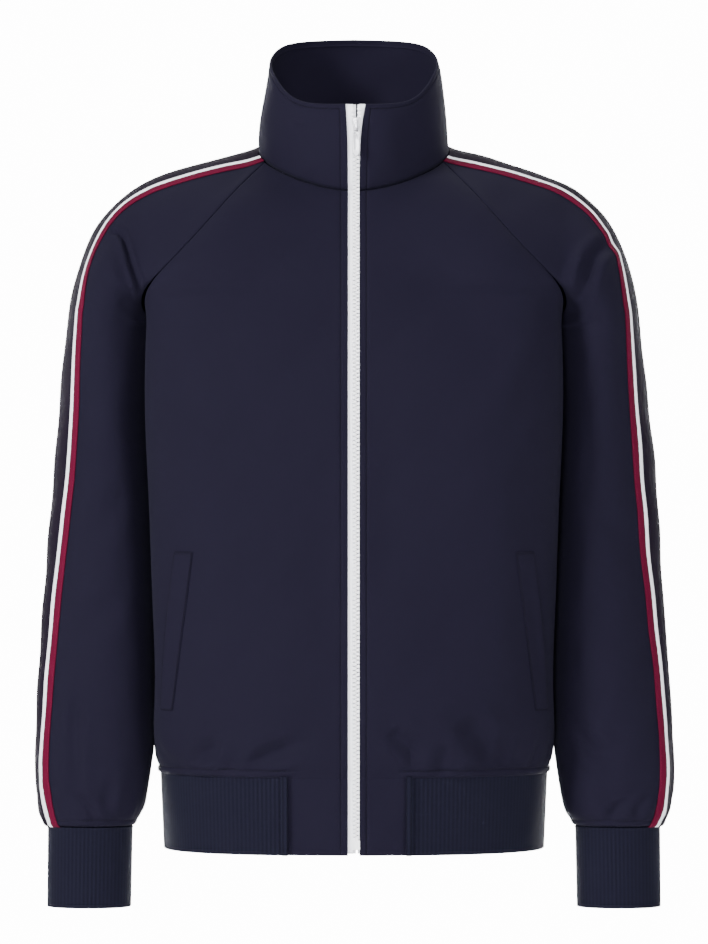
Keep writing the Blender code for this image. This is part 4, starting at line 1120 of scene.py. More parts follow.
def tooth_finish():
    """White moulded plastic, a little uneven."""
    graph = Graph("tooth")
    place = graph.solid_place()
    cloud = graph.noise(place, 240, 2.0)
    grain = graph.noise(place, 2400, 3.0, 0.6)
    base = dyed("zip_white")
    graph.shade(Base_Color=graph.between(cloud * 0.3, base, shades(base, 0.84)),
                Roughness=0.3 + grain * 0.2, Normal=graph.bump(grain, 0.00006, 0.4), Specular_IOR_Level=0.5)


def slider_finish():
    """Bright white-lacquered metal, rubbed to bare metal in small specks."""
    graph = Graph("slider")
    place = graph.solid_place()
    cloud = graph.noise(place, 180, 3.0)
    grain = graph.noise(place, 1800, 4.0, 0.7)
    worn = graph.step(grain * 0.6 + cloud * 0.4, 0.6, 0.05)
    base = dyed("metal")
    graph.shade(Base_Color=graph.between(worn * 0.5, base, shades(base, 0.6)),
                Roughness=0.24 + cloud * 0.2, Metallic=0.35 + worn * 0.4,
                Normal=graph.bump(grain, 0.00008, 0.35), Coat_Weight=0.3)


def floor_finish():
    """Pale studio paper."""
    graph = Graph("studio_paper")
    place = graph.solid_place()
    grain = graph.noise(place, 60, 3.0)
    graph.shade(Base_Color=graph.between(grain, (0.93, 0.93, 0.94), (0.96, 0.96, 0.965)), Roughness=0.9,
                Specular_IOR_Level=0.1)


MAKERS = {
    "tricot": tricot,
    "rib": rib,
    "stripes": stripes,
    "zip_tape": zip_weave,
    "tooth": tooth_finish,
    "slider": slider_finish,
    "studio_paper": floor_finish,
    # The thread is far darker than the shell: partly the thread's own dark colour, and partly painted shade
    # along the seams' lines of stitches.
    "thread": lambda: thread_finish("thread", shades(dyed("shell"), 0.25)),
    "rib_thread": lambda: thread_finish("rib_thread", shades(dyed("rib"), 0.5)),
    "stripe_thread": lambda: thread_finish("stripe_thread", dyed("red")),
}


def finish(look):
    """A finish's material, made when it is first asked for."""
    if look not in bpy.data.materials:
        MAKERS[look]()
    return bpy.data.materials[look]


# ---- Pieces of cloth ----

NEAR_SEAM = 13.0
TIGHT_DROP = 110.0
WAIST_RIDGE = 1.4
CUFF_RIDGE = 0.5
PUCKER_REACH = 46.0
CUFF_PUCKER_REACH = 34.0
CUFF_PUCKER_DEPTH = 0.9
RIB_COLUMNS = 6
RIB_DEPTH = 0.85

# Widths that set how many columns of points a piece has: a front beyond the waistband's end, half of the back,
# and the sleeve in front of its tape and behind it
FRONT_REACH = 205.0
BACK_REACH = 235.0
SLEEVE_AHEAD = 128.0
SLEEVE_BEHIND = 150.0
COLLAR_HEIGHT = 83.0
COLLAR_REACH = 262.0

# Where the waist's topstitching starts, in front of the waistband's end
WAIST_STITCH_START = 9.0

# A pocket's welt: how far in from its edges it is sewn, where the second row across its top lies, how deep the
# stitches sink, how far its mouth stands open, and how deep its sewn edges are pressed
WELT_STITCH = 0.9
WELT_BAR = 4.1
WELT_GROOVE = 0.25
WELT_MOUTH = 2.2
WELT_PRESS = 0.75


def cloth_step():
    return settings().cloth.mesh_step / MM


def worn(points, normals, piece, pressed, seams):
    """Points of a piece with its creases and slow waves, which fade at its seams and where it is pressed."""
    away = np.min([nearest(points, line) for line in seams], axis=0)
    free = smooth_ramp(away / NEAR_SEAM)
    tight = smooth_ramp((pressed - 0.35) / 0.4) * smooth_ramp((-points[..., 2] - TIGHT_DROP) / 40)
    cloth = settings().cloth
    depth = cloth.creases * crease_depth(points, piece) * smooth_ramp(away / 5)
    depth += cloth.unevenness * unevenness(points, piece) * free
    return pushed_in(points, normals, depth * (1 - tight))


def panel(node, points, normals, thick, seams, edges, stitched, keep=None, closed_from=None, middle=0):
    """A cut piece of the shell cloth in the place of its frame node, with its lines of stitches."""
    surface = points
    for line, _ in stitched:
        points = groove(points, normals, line)
    outer, inner = rounded(points, normals, thick, seams, edges)
    obj = skin("cloth_" + node, outer, inner, laid_out(surface, middle), "tricot", keep, closed_from)
    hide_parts(node)
    if stitched:
        sunk = [(line - out * (STITCH_GROOVE - 0.12), out) for line, out in stitched]
        sewn("stitches_" + node, sunk)
    return obj


def on_line(points, normals, row=None, column=None, part=slice(None)):
    """A row or column of a grid, as a line of stitches."""
    place = (row, part) if column is None else (part, column)
    return points[place], normals[place]


def ridge(points, normals, seam_drop, width, height):
    """Points raised softly over the turned-in edge that lies behind a seam."""
    above = points[..., 2] + seam_drop
    swell = smooth_ramp(above / 2.5) * smooth_ramp((width - above) / 2.5)
    return points + normals * (height * swell)[..., None]


def front_columns(side):
    """Distances from the centre line of a front's columns, from its zip edge to the end of the waistband."""
    edge, end = FRONT_EDGE[side], HEM_END_X[side]
    return edge + spaced(end - edge, cloth_step(), marks=(FRONT_STITCH,))


def make_front(side, flip):
    """A front, with its plain end beside the zip that runs down to the hem."""
    step = cloth_step()
    body = rows_by_length(front_rows, 0, WAIST_ROW, step, marks_up=(WAIST_STITCH,))
    hem = rows_by_length(front_rows, WAIST_ROW, HEM_ROW, step)
    rows = np.concatenate([body, hem[1:]])
    waist = len(body) - 1
    columns = front_columns(side)
    beside_zip = t_at_x(rows, columns)
    shares = spaced(FRONT_REACH, step * 0.95, ())[1:] / FRONT_REACH
    t = np.concatenate([beside_zip, beside_zip[:, -1:] + (1 - beside_zip[:, -1:]) * shares], axis=1)
    points, normals = front_rows(rows, t), outward(front_rows, rows, t, -1)
    points = pushed_in(points, normals, folds_at(points, TORSO_FOLDS, WAIST_SEAM_DROP))
    points[:, -1] += torso_edge_shift(rows, -1, FRONT_ACROSS)
    end = len(columns) - 1
    points, normals, pressed = flip(points), flip(normals), normals[..., 0]
    seams = [points[0], points[:waist + 1, -1], points[waist, end:]]
    lower = [points[waist:, end]]
    eased = puckers(points, WAIST_SEAM_DROP - WAIST_STITCH, PUCKER_REACH, PUCKER_DEPTH)
    beside = smooth_ramp((np.abs(points[..., 0]) - HEM_END_X[side] + 12) / 14)
    away = nearest(points, seams[1])
    points = pushed_in(points, normals, eased * beside * smooth_ramp(away / 12))
    points = worn(points, normals, "front_" + side, pressed, seams + [points[:, 0]])
    swollen = ridge(points, normals, WAIST_SEAM_DROP, WAIST_STITCH, WAIST_RIDGE)
    points = blend(points, swollen, beside[..., None])
    keep = np.ones((len(rows) - 1, points.shape[1] - 1), bool)
    keep[waist:, end:] = False
    stitch_row = closest(points[:waist, -1, 2], WAIST_STITCH - WAIST_SEAM_DROP)
    stitch_column = closest(columns, FRONT_EDGE[side] + FRONT_STITCH)
    start = closest(columns, HEM_END_X[side] - WAIST_STITCH_START)
    stitched = [on_line(points, normals, column=stitch_column, part=slice(1, len(rows) - 2)),
                on_line(points, normals, row=stitch_row, part=slice(start, -2))]
    obj = panel("front_" + side, points, normals, CLOTH, seams + lower, [points[:, 0], points[-1, :end + 1]],
                stitched, keep)


def make_back():
    """The back, one piece from side to side."""
    step = cloth_step()
    rows = rows_by_length(back_rows, 0, WAIST_ROW, step, marks_up=(WAIST_STITCH,))
    t = spaced(BACK_REACH, step, ()) / BACK_REACH
    points, normals = back_rows(rows, t), outward(back_rows, rows, t, 1)
    points = pushed_in(points, normals, folds_at(points, TORSO_FOLDS, WAIST_SEAM_DROP))
    points[:, -1] += torso_edge_shift(rows, 1, BACK_ACROSS)
    points, normals = (np.concatenate([mirrored(grid[:, :0:-1]), grid], axis=1) for grid in (points, normals))
    seams = [points[0], points[:, 0], points[:, -1], points[-1]]
    eased = puckers(points, WAIST_SEAM_DROP - WAIST_STITCH, PUCKER_REACH, PUCKER_DEPTH)
    away = np.minimum(nearest(points, seams[1]), nearest(points, seams[2]))
    points = pushed_in(points, normals, eased * smooth_ramp(away / 12))
    points = worn(points, normals, "back", np.abs(normals[..., 0]), seams)
    points = ridge(points, normals, WAIST_SEAM_DROP, WAIST_STITCH, WAIST_RIDGE)
    stitch_row = closest(points[:-1, 0, 2], WAIST_STITCH - WAIST_SEAM_DROP)
    obj = panel("back", points, normals, CLOTH, seams, [],
                [on_line(points, normals, row=stitch_row, part=slice(2, -2))], middle=points.shape[1] // 2)


# Columns of the side tape, from its front edge
TAPE_HALF = (0, 0.12, 0.4, 0.8, 1.5, 3.2, 5.2, 7.0, 7.4, 7.8, 8.2, 8.6, 10.6, 12.7, 13.1, 13.5, 13.9, 17, 20.5,
             24, 27.5)
TAPE_COLUMNS = (*TAPE_HALF, TAPE_WIDTH / 2, *(TAPE_WIDTH - place for place in reversed(TAPE_HALF)))
WHITE_LIFT = 0.25
STRIPE_DIP = 0.3
TAPE_STITCH = 1.2
TAPE_RADIUS = 0.45


def make_sleeve(side, flip):
    """A sleeve, and the striped tape that is sewn on it from the neck to the cuff."""
    step = cloth_step()
    rows = rows_by_length(sleeve_rows, 0, WAIST_ROW, step, marks_up=(CUFF_STITCH,))
    reach = read(TAPE_EDGE, ("row", "reach"), "reach", rows)
    tape = t_at_reach(rows, np.array(TAPE_COLUMNS) - reach[:, None])
    first = spaced(SLEEVE_AHEAD, step, end=()) / SLEEVE_AHEAD
    last = spaced(SLEEVE_BEHIND, step, start=()) / SLEEVE_BEHIND
    ahead = -1 + first[:-1] * (tape[:, :1] + 1)
    behind = tape[:, -1:] + last[1:] * (1 - tape[:, -1:])
    t = np.concatenate([ahead, tape, behind], axis=1)
    points, normals = sleeve_rows(rows, t), outward(sleeve_rows, rows, t, -1)
    end_drop = SLEEVE[-1][0]
    points = pushed_in(points, normals, folds_at(points, SLEEVE_FOLDS, end_drop))
    points[:, 0] += sleeve_edge_shift(rows, FRONT_ACROSS)
    points[:, -1] += sleeve_edge_shift(rows, BACK_ACROSS)
    ring = rows >= UNDERARM_ROW
    for grid in (points, normals):
        grid[ring, 0] = grid[ring, -1] = (grid[ring, 0] + grid[ring, -1]) / 2
    normals[ring] = unit(normals[ring])
    first_ring = int(np.argmax(ring))
    pressed = -normals[..., 0]
    points, normals = flip(points), flip(normals)
    seams = [points[0], points[:first_ring + 1, 0], points[:first_ring + 1, -1], points[-1]]
    eased = puckers(points, end_drop - CUFF_STITCH, CUFF_PUCKER_REACH, CUFF_PUCKER_DEPTH)
    points = pushed_in(points, normals, eased)
    points = worn(points, normals, "sleeve_" + side, pressed, seams)
    points = ridge(points, normals, end_drop, CUFF_STITCH, CUFF_RIDGE)
    stitch_row = closest(points[:-1, len(first), 2], CUFF_STITCH - end_drop)
    obj = panel("sleeve_" + side, points, normals, CLOTH, seams + [points[first_ring:, 0]], [],
                [on_line(points, normals, row=stitch_row)], closed_from=first_ring,
                middle=len(first) + len(TAPE_COLUMNS) // 2)
    "cloth_front_" + side
    part = slice(len(first) - 1, len(first) - 1 + len(TAPE_COLUMNS))
    make_tape(side, points[:, part], normals[:, part])


def make_tape(side, under, lift):
    """The side tape on the sleeve's cloth, with its white stripes standing a little proud."""
    base = under.copy()
    base[0] += unit(base[1] - base[0]) * SEAM_GAP
    base[-1] += unit(base[-2] - base[-1]) * SEAM_GAP
    place = np.array(TAPE_COLUMNS)
    white = sum(smooth_ramp((place - low) / 0.6) * smooth_ramp((high - place) / 0.6)
                for low, high in WHITE_STRIPES)
    between = (RED_EDGE + WHITE_EDGES[0]) / 2
    dip = sum(np.exp(-((place - middle) / 0.5)**2) for middle in (between, TAPE_WIDTH - between))
    relief = (WHITE_LIFT * white - STRIPE_DIP * dip)[None, :, None]
    top = base + lift * (TAPE_LIFT + TAPE_CLOTH + relief)
    away = np.minimum(place, TAPE_WIDTH - place)
    ends = np.minimum(nearest(top, top[0]), nearest(top, top[-1]))
    outer = pushed_in(top, lift, edge_turn(np.minimum(away[None, :], ends), TAPE_RADIUS))
    inner = pushed_in(top, lift, TAPE_CLOTH + relief[..., 0])
    uv = laid_out(top)
    uv[..., 0] = place
    obj = skin("stripes_" + side, outer, inner, uv, "stripes")
    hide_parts("sleeve_tape_" + side)
    "cloth_sleeve_" + side
    lines = []
    for across in (TAPE_STITCH, TAPE_WIDTH - TAPE_STITCH):
        k = int(np.clip(np.searchsorted(place, across), 1, len(place) - 1))
        share = (across - place[k - 1]) / (place[k] - place[k - 1])
        line = blend(outer[:, k - 1], outer[:, k], share)
        lines.append((line - lift[:, k] * 0.05, lift[:, k]))
    sewn("stitches_stripes_" + side, lines, "stripe_thread")


def collar_half(side, rows, columns):
    """Points and normals of half of the collar, from its zip edge to the middle of the back."""
    low, high = collar_angles(FRONT_EDGE[side], COLLAR_TOP_EDGE[side])
    low, high = (start + (math.pi - start) * columns for start in (low, high))
    step = 1e-3
    points = collar_rows(rows, low, high)
    across = collar_rows(rows, low + step, high + step) - collar_rows(rows, low - step, high - step)
    up = collar_rows(rows + step, low, high) - collar_rows(rows - step, low, high)
    return points, unit(np.cross(across, up))


def make_collar():
    """The stand collar, one piece from zip edge to zip edge, turned at its rim and stitched below it."""
    step = cloth_step() * 0.85
    rows = spaced(COLLAR_HEIGHT, step, marks=(COLLAR_HEIGHT - RIM_STITCH,)) / COLLAR_HEIGHT
    columns = spaced(COLLAR_REACH, step, end=(), marks=(FRONT_STITCH,)) / COLLAR_REACH
    halves = [collar_half(side, rows, columns) for side in ("left", "right")]
    for (grid, _), side in zip(halves, ("left", "right")):
        flare = (COLLAR_TOP_EDGE[side] - FRONT_EDGE[side]) * (rows - rows**3.2)
        grid[..., 0] -= flare[:, None] * np.exp(-(columns * COLLAR_REACH / 16)**2)
    points, normals = (np.concatenate([left[:, :-1], mirrored(right)[:, ::-1]], axis=1)
                       for left, right in zip(*halves))
    points[0] -= unit(points[1] - points[0]) * COLLAR_OVERLAP
    tuck = COLLAR_TUCK * np.clip(1 - rows * COLLAR_HEIGHT / 2.4, 0, 1)**1.5
    points = pushed_in(points, normals, tuck[:, None])
    points = worn(points, normals, "collar", 0 * normals[..., 0],
                  [points[0], points[-1], points[:, 0], points[:, -1]])
    row = closest(rows, 1 - RIM_STITCH / COLLAR_HEIGHT)
    column = closest(columns * COLLAR_REACH, FRONT_STITCH)
    part, up = slice(column, -column - 1), slice(1, row + 1)
    stitched = [on_line(points, normals, row=row, part=part),
                on_line(points, normals, column=column, part=up),
                on_line(points, normals, column=-column - 1, part=up)]
    obj = panel("collar", points, normals, COLLAR_CLOTH, [], [points[-1], points[:, 0], points[:, -1]],
                stitched, middle=len(columns) - 1)
    inside = points[row, part] - normals[row, part] * (COLLAR_CLOTH + 0.08)
    sewn("stitches_rim", [(inside, -normals[row, part])])


def quarter(wide, deep, square, sign):
    """A quarter of an oval, from the centre line in front or behind to the side."""
    points = np.array([[0, deep], [square * wide, deep], [wide, square * deep], [wide, 0]]) * [1, sign]
    return bezier(*(p[None] for p in points), np.linspace(0, 1, FINE))[0]


def ribbed_band(name, node, outline, pitch, closed):
    """A ribbed band between its top and bottom edges, which are given as dense, evenly read outlines."""
    length = [lengths(line) for line in outline]
    ribs = round(length[0][-1] / pitch)
    count = ribs * RIB_COLUMNS
    edges = []
    for line, along in zip(outline, length):
        at = np.linspace(0, along[-1], count + 1)
        edges.append(point_at(at, along, line))
    top, bottom = edges
    tall = np.linalg.norm(bottom - top, axis=1).mean()
    down = spaced(tall, 4.2) / tall
    base = top[None] + (bottom - top)[None] * down[:, None, None]
    if closed:
        around = np.roll(base[:, :-1], -1, axis=1) - np.roll(base[:, :-1], 1, axis=1)
        around = np.concatenate([around, around[:, :1]], axis=1)
    else:
        around = np.gradient(base, axis=1)
    normals = unit(np.cross(around, base[-1:] - base[:1]))
    turn = np.arange(count + 1) / RIB_COLUMNS
    crest = 0.5 - 0.5 * np.cos(2 * math.pi * turn)
    fade = smooth_ramp(down * tall / 3) * smooth_ramp((1 - down) * tall / 2.5)
    waves = 1 + 0.6 * np.sin(turn * 0.31) + 0.4 * np.sin(turn * 0.77 + 1)
    swell = BAND_SWELL * np.sin(math.pi * down)[:, None] * waves
    end = np.minimum(turn, turn[-1] - turn) * pitch
    tuck = 0 * end if closed else BAND_TUCK_DEPTH * smooth_ramp((BAND_TUCKED + 0.9 - end) / 0.8)
    base = pushed_in(base, normals, tuck[None, :])
    points = base + normals * (swell - RIB_DEPTH * (1 - crest) * fade[:, None])[..., None]
    outer, inner = rounded(points, normals, RIB_CLOTH, [points[0]], [points[-1]])
    inner = base - normals * RIB_CLOTH + (inner - points + normals * RIB_CLOTH)
    uv = np.stack(np.broadcast_arrays((turn * RIB_ON_CLOTH)[None], -(down * tall)[:, None]), axis=-1)
    obj = skin(name, outer, inner, uv, "rib", closed_from=0 if closed else None)
    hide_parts(node)
    return obj, base


def beyond(line, x):
    """The part of a line that lies beyond x, where x rises along the line."""
    start = [[x, np.interp(x, line[:, 0], line[:, 1])]]
    return np.concatenate([start, line[line[:, 0] > x + 0.01]])


def make_waistband():
    """The ribbed band, from one plain front end round the back to the other."""
    outline = []
    for drop, wide, front, back in BAND:
        ahead, rear = quarter(wide, front, BAND_SQUARENESS, -1), quarter(wide, back, BAND_SQUARENESS, 1)
        left, right = (beyond(ahead, HEM_END_X[side] - BAND_TUCKED) for side in ("left", "right"))
        line = np.concatenate([left[:-1], rear[:0:-1], rear[:-1] * [-1, 1], right[::-1] * [-1, 1]])
        outline.append(np.column_stack([line, np.full(len(line), -drop)]))
    obj, base = ribbed_band("ribbed_waistband", "waistband", outline, RIB_PITCH, False)


def make_cuff(side, flip):
    """A ribbed cuff, a closed ring below the end of the sleeve."""
    outline = []
    for drop, x_in, x_out, y, reach in CUFF:
        fine = np.linspace(0, 1, FINE)
        start, end = np.array([[x_in, y]]), np.array([[x_out, y]])
        halves = [bezier(start, start + [0, s * reach], end + [0, s * reach], end, fine)[0] for s in (-1, 1)]
        line = np.concatenate([halves[0][:-1], halves[1][::-1]])
        outline.append(flip(np.column_stack([line, np.full(len(line), -drop)])))
    if side == "right":
        outline = [line[::-1] for line in outline]
    obj, base = ribbed_band("ribbed_cuff_" + side, "cuff_" + side, outline, CUFF_RIB_PITCH, True)
    "cloth_sleeve_" + side


def make_welt(side, flip):
    """A pocket's welt on the front: sewn down at its inner edge and both ends, lifted at its outer edge."""
    tall = math.dist(WELT_TOP, WELT_BOTTOM)
    share = spaced(tall, 3.0) / tall
    line = blend(np.array(WELT_TOP), np.array(WELT_BOTTOM), share[:, None])
    rows = UNDERARM_ROW + (-line[:, 1] - UNDERARM_DROP) / (WAIST_SEAM_DROP - UNDERARM_DROP) * (
        WAIST_ROW - UNDERARM_ROW)
    fine = np.linspace(0, 1, FINE)
    surface = front_rows(rows, fine)
    along = lengths(surface)
    start = [np.interp(x, across, run) for x, across, run in zip(line[:, 0], surface[..., 0], along)]
    place = spaced(WELT_WIDTH, 2.4, marks=(WELT_STITCH,))
    t = np.array([np.interp(first + place, run, fine) for first, run in zip(start, along)])
    points, normals = front_rows(rows, t), outward(front_rows, rows, t, -1)
    points = pushed_in(points, normals, folds_at(points, TORSO_FOLDS, WAIST_SEAM_DROP))
    points, normals, pressed = flip(points), flip(normals), normals[..., 0]
    under = worn(points, normals, "front_" + side, pressed, [points[:, -1] + np.array([0, 300.0, 0])])
    open_share = smooth_ramp((place - WELT_WIDTH + 12) / 12)[None] * np.sin(math.pi * share)[:, None]
    top = under + normals * (WELT_LIFT + WELT_CLOTH + WELT_MOUTH * open_share)[..., None]
    sewn_down = [top[:, 0], top[0], top[-1]]
    gap = np.min([nearest(top, edge) for edge in sewn_down], axis=0)
    press = WELT_PRESS * np.clip(1 - gap / 2.2, 0, 1)**2
    turn = np.minimum(edge_turn(nearest(top, top[:, -1]), WELT_CLOTH / 2), WELT_CLOTH / 2 - EDGE_LEFT)
    stitch_column = closest(place, WELT_STITCH)
    ends = [closest(share * tall, mark) for mark in (WELT_STITCH, WELT_BAR, tall - WELT_STITCH)]
    down = slice(ends[0], ends[2] + 1)
    stitched = [on_line(top, normals, column=stitch_column, part=down)]
    stitched += [on_line(top, normals, row=end, part=slice(stitch_column, -2)) for end in ends]
    stitched += [on_line(top, normals, column=-3, part=down)]
    raised = top
    for path, _ in stitched:
        raised = groove(raised, normals, path, WELT_GROOVE)
    outer = pushed_in(raised, normals, press + turn)
    inner = pushed_in(top, normals, np.maximum(WELT_CLOTH - 0.25 * press, press + 0.2) - turn)
    obj = skin("cloth_pocket_welt_" + side, outer, inner, laid_out(top), "tricot")
    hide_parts("pocket_welt_" + side)
    "cloth_front_" + side
    sewn("stitches_pocket_" + side, [(path - out * 0.1, out) for path, out in stitched])


# ---- Zip ----

CHAIN_TOP_Z = 36.0
CHAIN_BOTTOM_Z = -652.0
STOP_Z = 34.0
BOX_Z = -653.5
TEETH_END = 4.0
TEETH_APART = 1.6
TAPE_BEHIND = CLOTH + 0.3
ZIP_TAPE_WIDTH = 10.6
BEHIND_TEETH = {"left": 1.7, "right": 2.9}
TEETH_CLEAR = 1.4
NECK_SINK = 1.4
CORD_HEIGHT = 0.35


def zip_path(x, step=3.5):
    """Points and normals of the cloth at a distance from the centre line, from the rim to the hem."""
    low, high = collar_angles(x, x)
    low, high = np.array([low]), np.array([high])
    upper = np.concatenate([collar_rows([row], low, high)[0] for row in np.linspace(1, 0, 24)])
    body = np.interp(np.arange(0, 622, step), np.linspace(0, 621, 21), np.arange(21))
    lower = front_rows(body, t_at_x(body, [x]))[:, 0]
    path = np.concatenate([upper[:-1], lower])
    run = np.gradient(path, axis=0)
    return path, unit(np.cross(run, np.tile([1.0, 0, 0], (len(run), 1))))


def make_zip_tape(side, flip):
    """A zip tape behind a front edge, with a thicker cord along its inner edge."""
    near = {"left": ZIP_CENTRE_X + ZIP_CHAIN_HALF, "right": ZIP_CHAIN_HALF - ZIP_CENTRE_X}[side] + SLIDER_GAP
    across = near + np.array([0, 0.15, 0.5, 0.9, 1.3, 2.6, 4.0, 5.5, 7.0, 8.8, ZIP_TAPE_WIDTH])
    grids = [zip_path(x) for x in across]
    points, normals = (np.stack([grid[i] for grid in grids], axis=1) for i in (0, 1))
    behind = BEHIND_TEETH[side] * np.array([1, 0.9, 0.75, 0.5, 0.3, 0.15])
    hidden = points[:, :1] - behind[None, :, None] * np.array([1.0, 0, 0])
    hidden = hidden - normals[:, :1] * TEETH_CLEAR * smooth_ramp(behind / 0.4)[None, :, None]
    points = np.concatenate([hidden, points], axis=1)
    normals = np.concatenate([np.repeat(normals[:, :1], len(behind), axis=1), normals], axis=1)
    across = np.concatenate([near - behind, across])
    points, normals = flip(points), flip(normals)
    edge = flip(zip_path(FRONT_EDGE[side])[0])
    points = worn(points, normals, "front_" + side, 0 * points[..., 0], [edge])
    neck = np.exp(-((points[..., 2] - points[closest(points[:, 0, 2], NECK_FRONT_Z), :, 2]) / 4)**2)
    points = pushed_in(points, normals, TAPE_BEHIND + NECK_SINK * neck)
    cord = CORD_HEIGHT * np.exp(-((across - near - 0.5) / 0.55)**2)
    points = points + normals * cord[None, :, None]
    outer, inner = rounded(points, normals, ZIP_TAPE_CLOTH, (), [points[:, 0], points[0], points[-1]])
    obj = skin("zip_tape_cloth_" + side, outer, inner, laid_out(points), "zip_tape")
    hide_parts("zip_tape_" + side)
    "cloth_front_" + side


def select(obj, test):
    """Selects the vertices of an object in edit mode that pass a test of their place."""
    bpy.ops.mesh.select_mode(type="VERT")
    bpy.ops.mesh.select_all(action="DESELECT")
    mesh = bmesh.from_edit_mesh(obj.data)
    for vertex in mesh.verts:
        vertex.select_set(bool(test(vertex.co)))
    mesh.select_flush(True)
    bmesh.update_edit_mesh(obj.data)


def select_faces(obj, test):
    """Selects the faces of an object in edit mode that pass a test of their middle and normal."""
    bpy.ops.mesh.select_mode(type="FACE")
    bpy.ops.mesh.select_all(action="DESELECT")
    mesh = bmesh.from_edit_mesh(obj.data)
    for face in mesh.faces:
        face.select_set(bool(test(face.calc_center_median(), face.normal)))
    mesh.select_flush_mode()
    bmesh.update_edit_mesh(obj.data)


def block(size, place=(0, 0, 0)):
    """A cube of a size at a place, ready to be shaped in edit mode."""
    bpy.ops.object.select_all(action="DESELECT")
    bpy.ops.mesh.primitive_cube_add(size=1, location=place)
    obj = bpy.context.object
    obj.scale = size
    bpy.ops.object.transform_apply(location=True, rotation=False, scale=True)
    bpy.ops.object.mode_set(mode="EDIT")
    return obj


def cut(axis, levels):
    """Cuts an object in edit mode right across one of its axes, at levels along it."""
    normal = tuple(float(i == axis) for i in range(3))
    for level in levels:
        bpy.ops.mesh.select_all(action="SELECT")
        bpy.ops.mesh.bisect(plane_co=tuple(level * share for share in normal), plane_no=normal)


def shaped():
    """Turns all faces outwards and leaves edit mode."""
    bpy.ops.mesh.select_all(action="SELECT")
    bpy.ops.mesh.normals_make_consistent(inside=False)
    bpy.ops.object.mode_set(mode="OBJECT")


def tooth_shape():
    """One moulded tooth: a foot that grips the tape's cord, and a narrower head. X points to the other side."""
    obj = block((2.2, 2.4, 2.6), (-1.85, 0, 0))
    select_faces(obj, lambda middle, normal: normal.x > 0.9)
    bpy.ops.mesh.extrude_region_move(TRANSFORM_OT_translate={"value": (0.9, 0, 0)})
    bpy.ops.transform.resize(value=(1, 0.86, 0.5))
    bpy.ops.mesh.extrude_region_move(TRANSFORM_OT_translate={"value": (0.6, 0, 0)})
    bpy.ops.transform.resize(value=(1, 1, 1.1))
    bpy.ops.mesh.select_all(action="DESELECT")
    select(obj, lambda place: place.y < -0.9)
    bpy.ops.mesh.bevel(offset=0.28, offset_type="OFFSET", segments=1, affect="EDGES")
    bpy.ops.object.mode_set(mode="OBJECT")
    return modelled(obj)


def chain_line():
    """The middle of the chain from its top to its bottom, with normals."""
    path, normals = zip_path(ZIP_CENTRE_X)
    path = path - normals * (CHAIN_DEPTH[0] + CHAIN_DEPTH[1]) / 2
    fine = np.linspace(CHAIN_TOP_Z, CHAIN_BOTTOM_Z, 2000)
    path, normals = path[::-1], normals[::-1]
    points = point_at(fine, path[:, 2], path)
    points[:, 0], points[:, 2] = ZIP_CENTRE_X, fine
    return points, unit(point_at(fine, path[:, 2], normals))


def make_teeth():
    """Two rows of white teeth, closed below the slider and parted above it."""
    shape, faces = tooth_shape()
    line, out = chain_line()
    length = lengths(line)
    pitch = settings().zip.pitch / MM
    points, loops = [], []
    count = int((length[-1] - TEETH_END) / pitch)
    slider_low = np.interp(-SLIDER_Z[0], -line[:, 2], length)
    for k in range(2 * count):
        at = (k + 1) * pitch / 2
        side = -1 if k % 2 else 1
        middle, normal = (point_at(at, length, grid) for grid in (line, out))
        apart = TEETH_APART * smooth_ramp((slider_low - at) / 12)
        run = unit(np.cross([1.0, 0, 0], normal))
        axes = np.stack([[-side, 0, 0], -normal, run])
        base = len(points) * len(shape)
        points.append(middle + np.array([side * (apart + 0.15), 0, 0]) + shape @ axes)
        turned = np.linalg.det(axes) < 0
        loops += [[v + base for v in (face[::-1] if turned else face)] for face in faces]
    obj = new_object("zip_teeth_row", np.concatenate(points), loops, None, "tooth")
    flatten_shading(obj)
    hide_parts("zip_chain")


def flatten_shading(obj):
    """Keeps the edges of a moulded shape crisp."""
    bpy.ops.object.select_all(action="DESELECT")
    obj.select_set(True)
    bpy.context.view_layer.objects.active = obj
    bpy.ops.object.shade_smooth_by_angle(angle=math.radians(35))


def made_piece(obj, name, look, axes, centre, body="jacket"):
    """A piece that was modelled at the origin in millimetres, moved into its place in metres."""
    points, faces = modelled(obj)
    placed = centre + points @ axes
    if np.linalg.det(axes) < 0:
        faces = [face[::-1] for face in faces]
    made = new_object(name, placed, faces, None, look, body)
    flatten_shading(made)
    return made


def applied(obj, kind, **values):
    """Adds a modifier to an object and applies it."""
    modifier = obj.modifiers.new(kind.lower(), kind)
    for name, value in values.items():
        setattr(modifier, name, value)
    bpy.context.view_layer.objects.active = obj
    bpy.ops.object.modifier_apply(modifier=modifier.name)


def chain_place(z):
    """Place, and directions across, out and up, at a height on the chain."""
    line, out = chain_line()
    middle, normal = (point_at(-z, -line[:, 2], grid) for grid in (line, out))
    up = unit(np.cross([1.0, 0, 0], normal) * -1)
    up = up if up[2] > 0 else -up
    return middle, np.stack([[1.0, 0, 0], -normal, up])


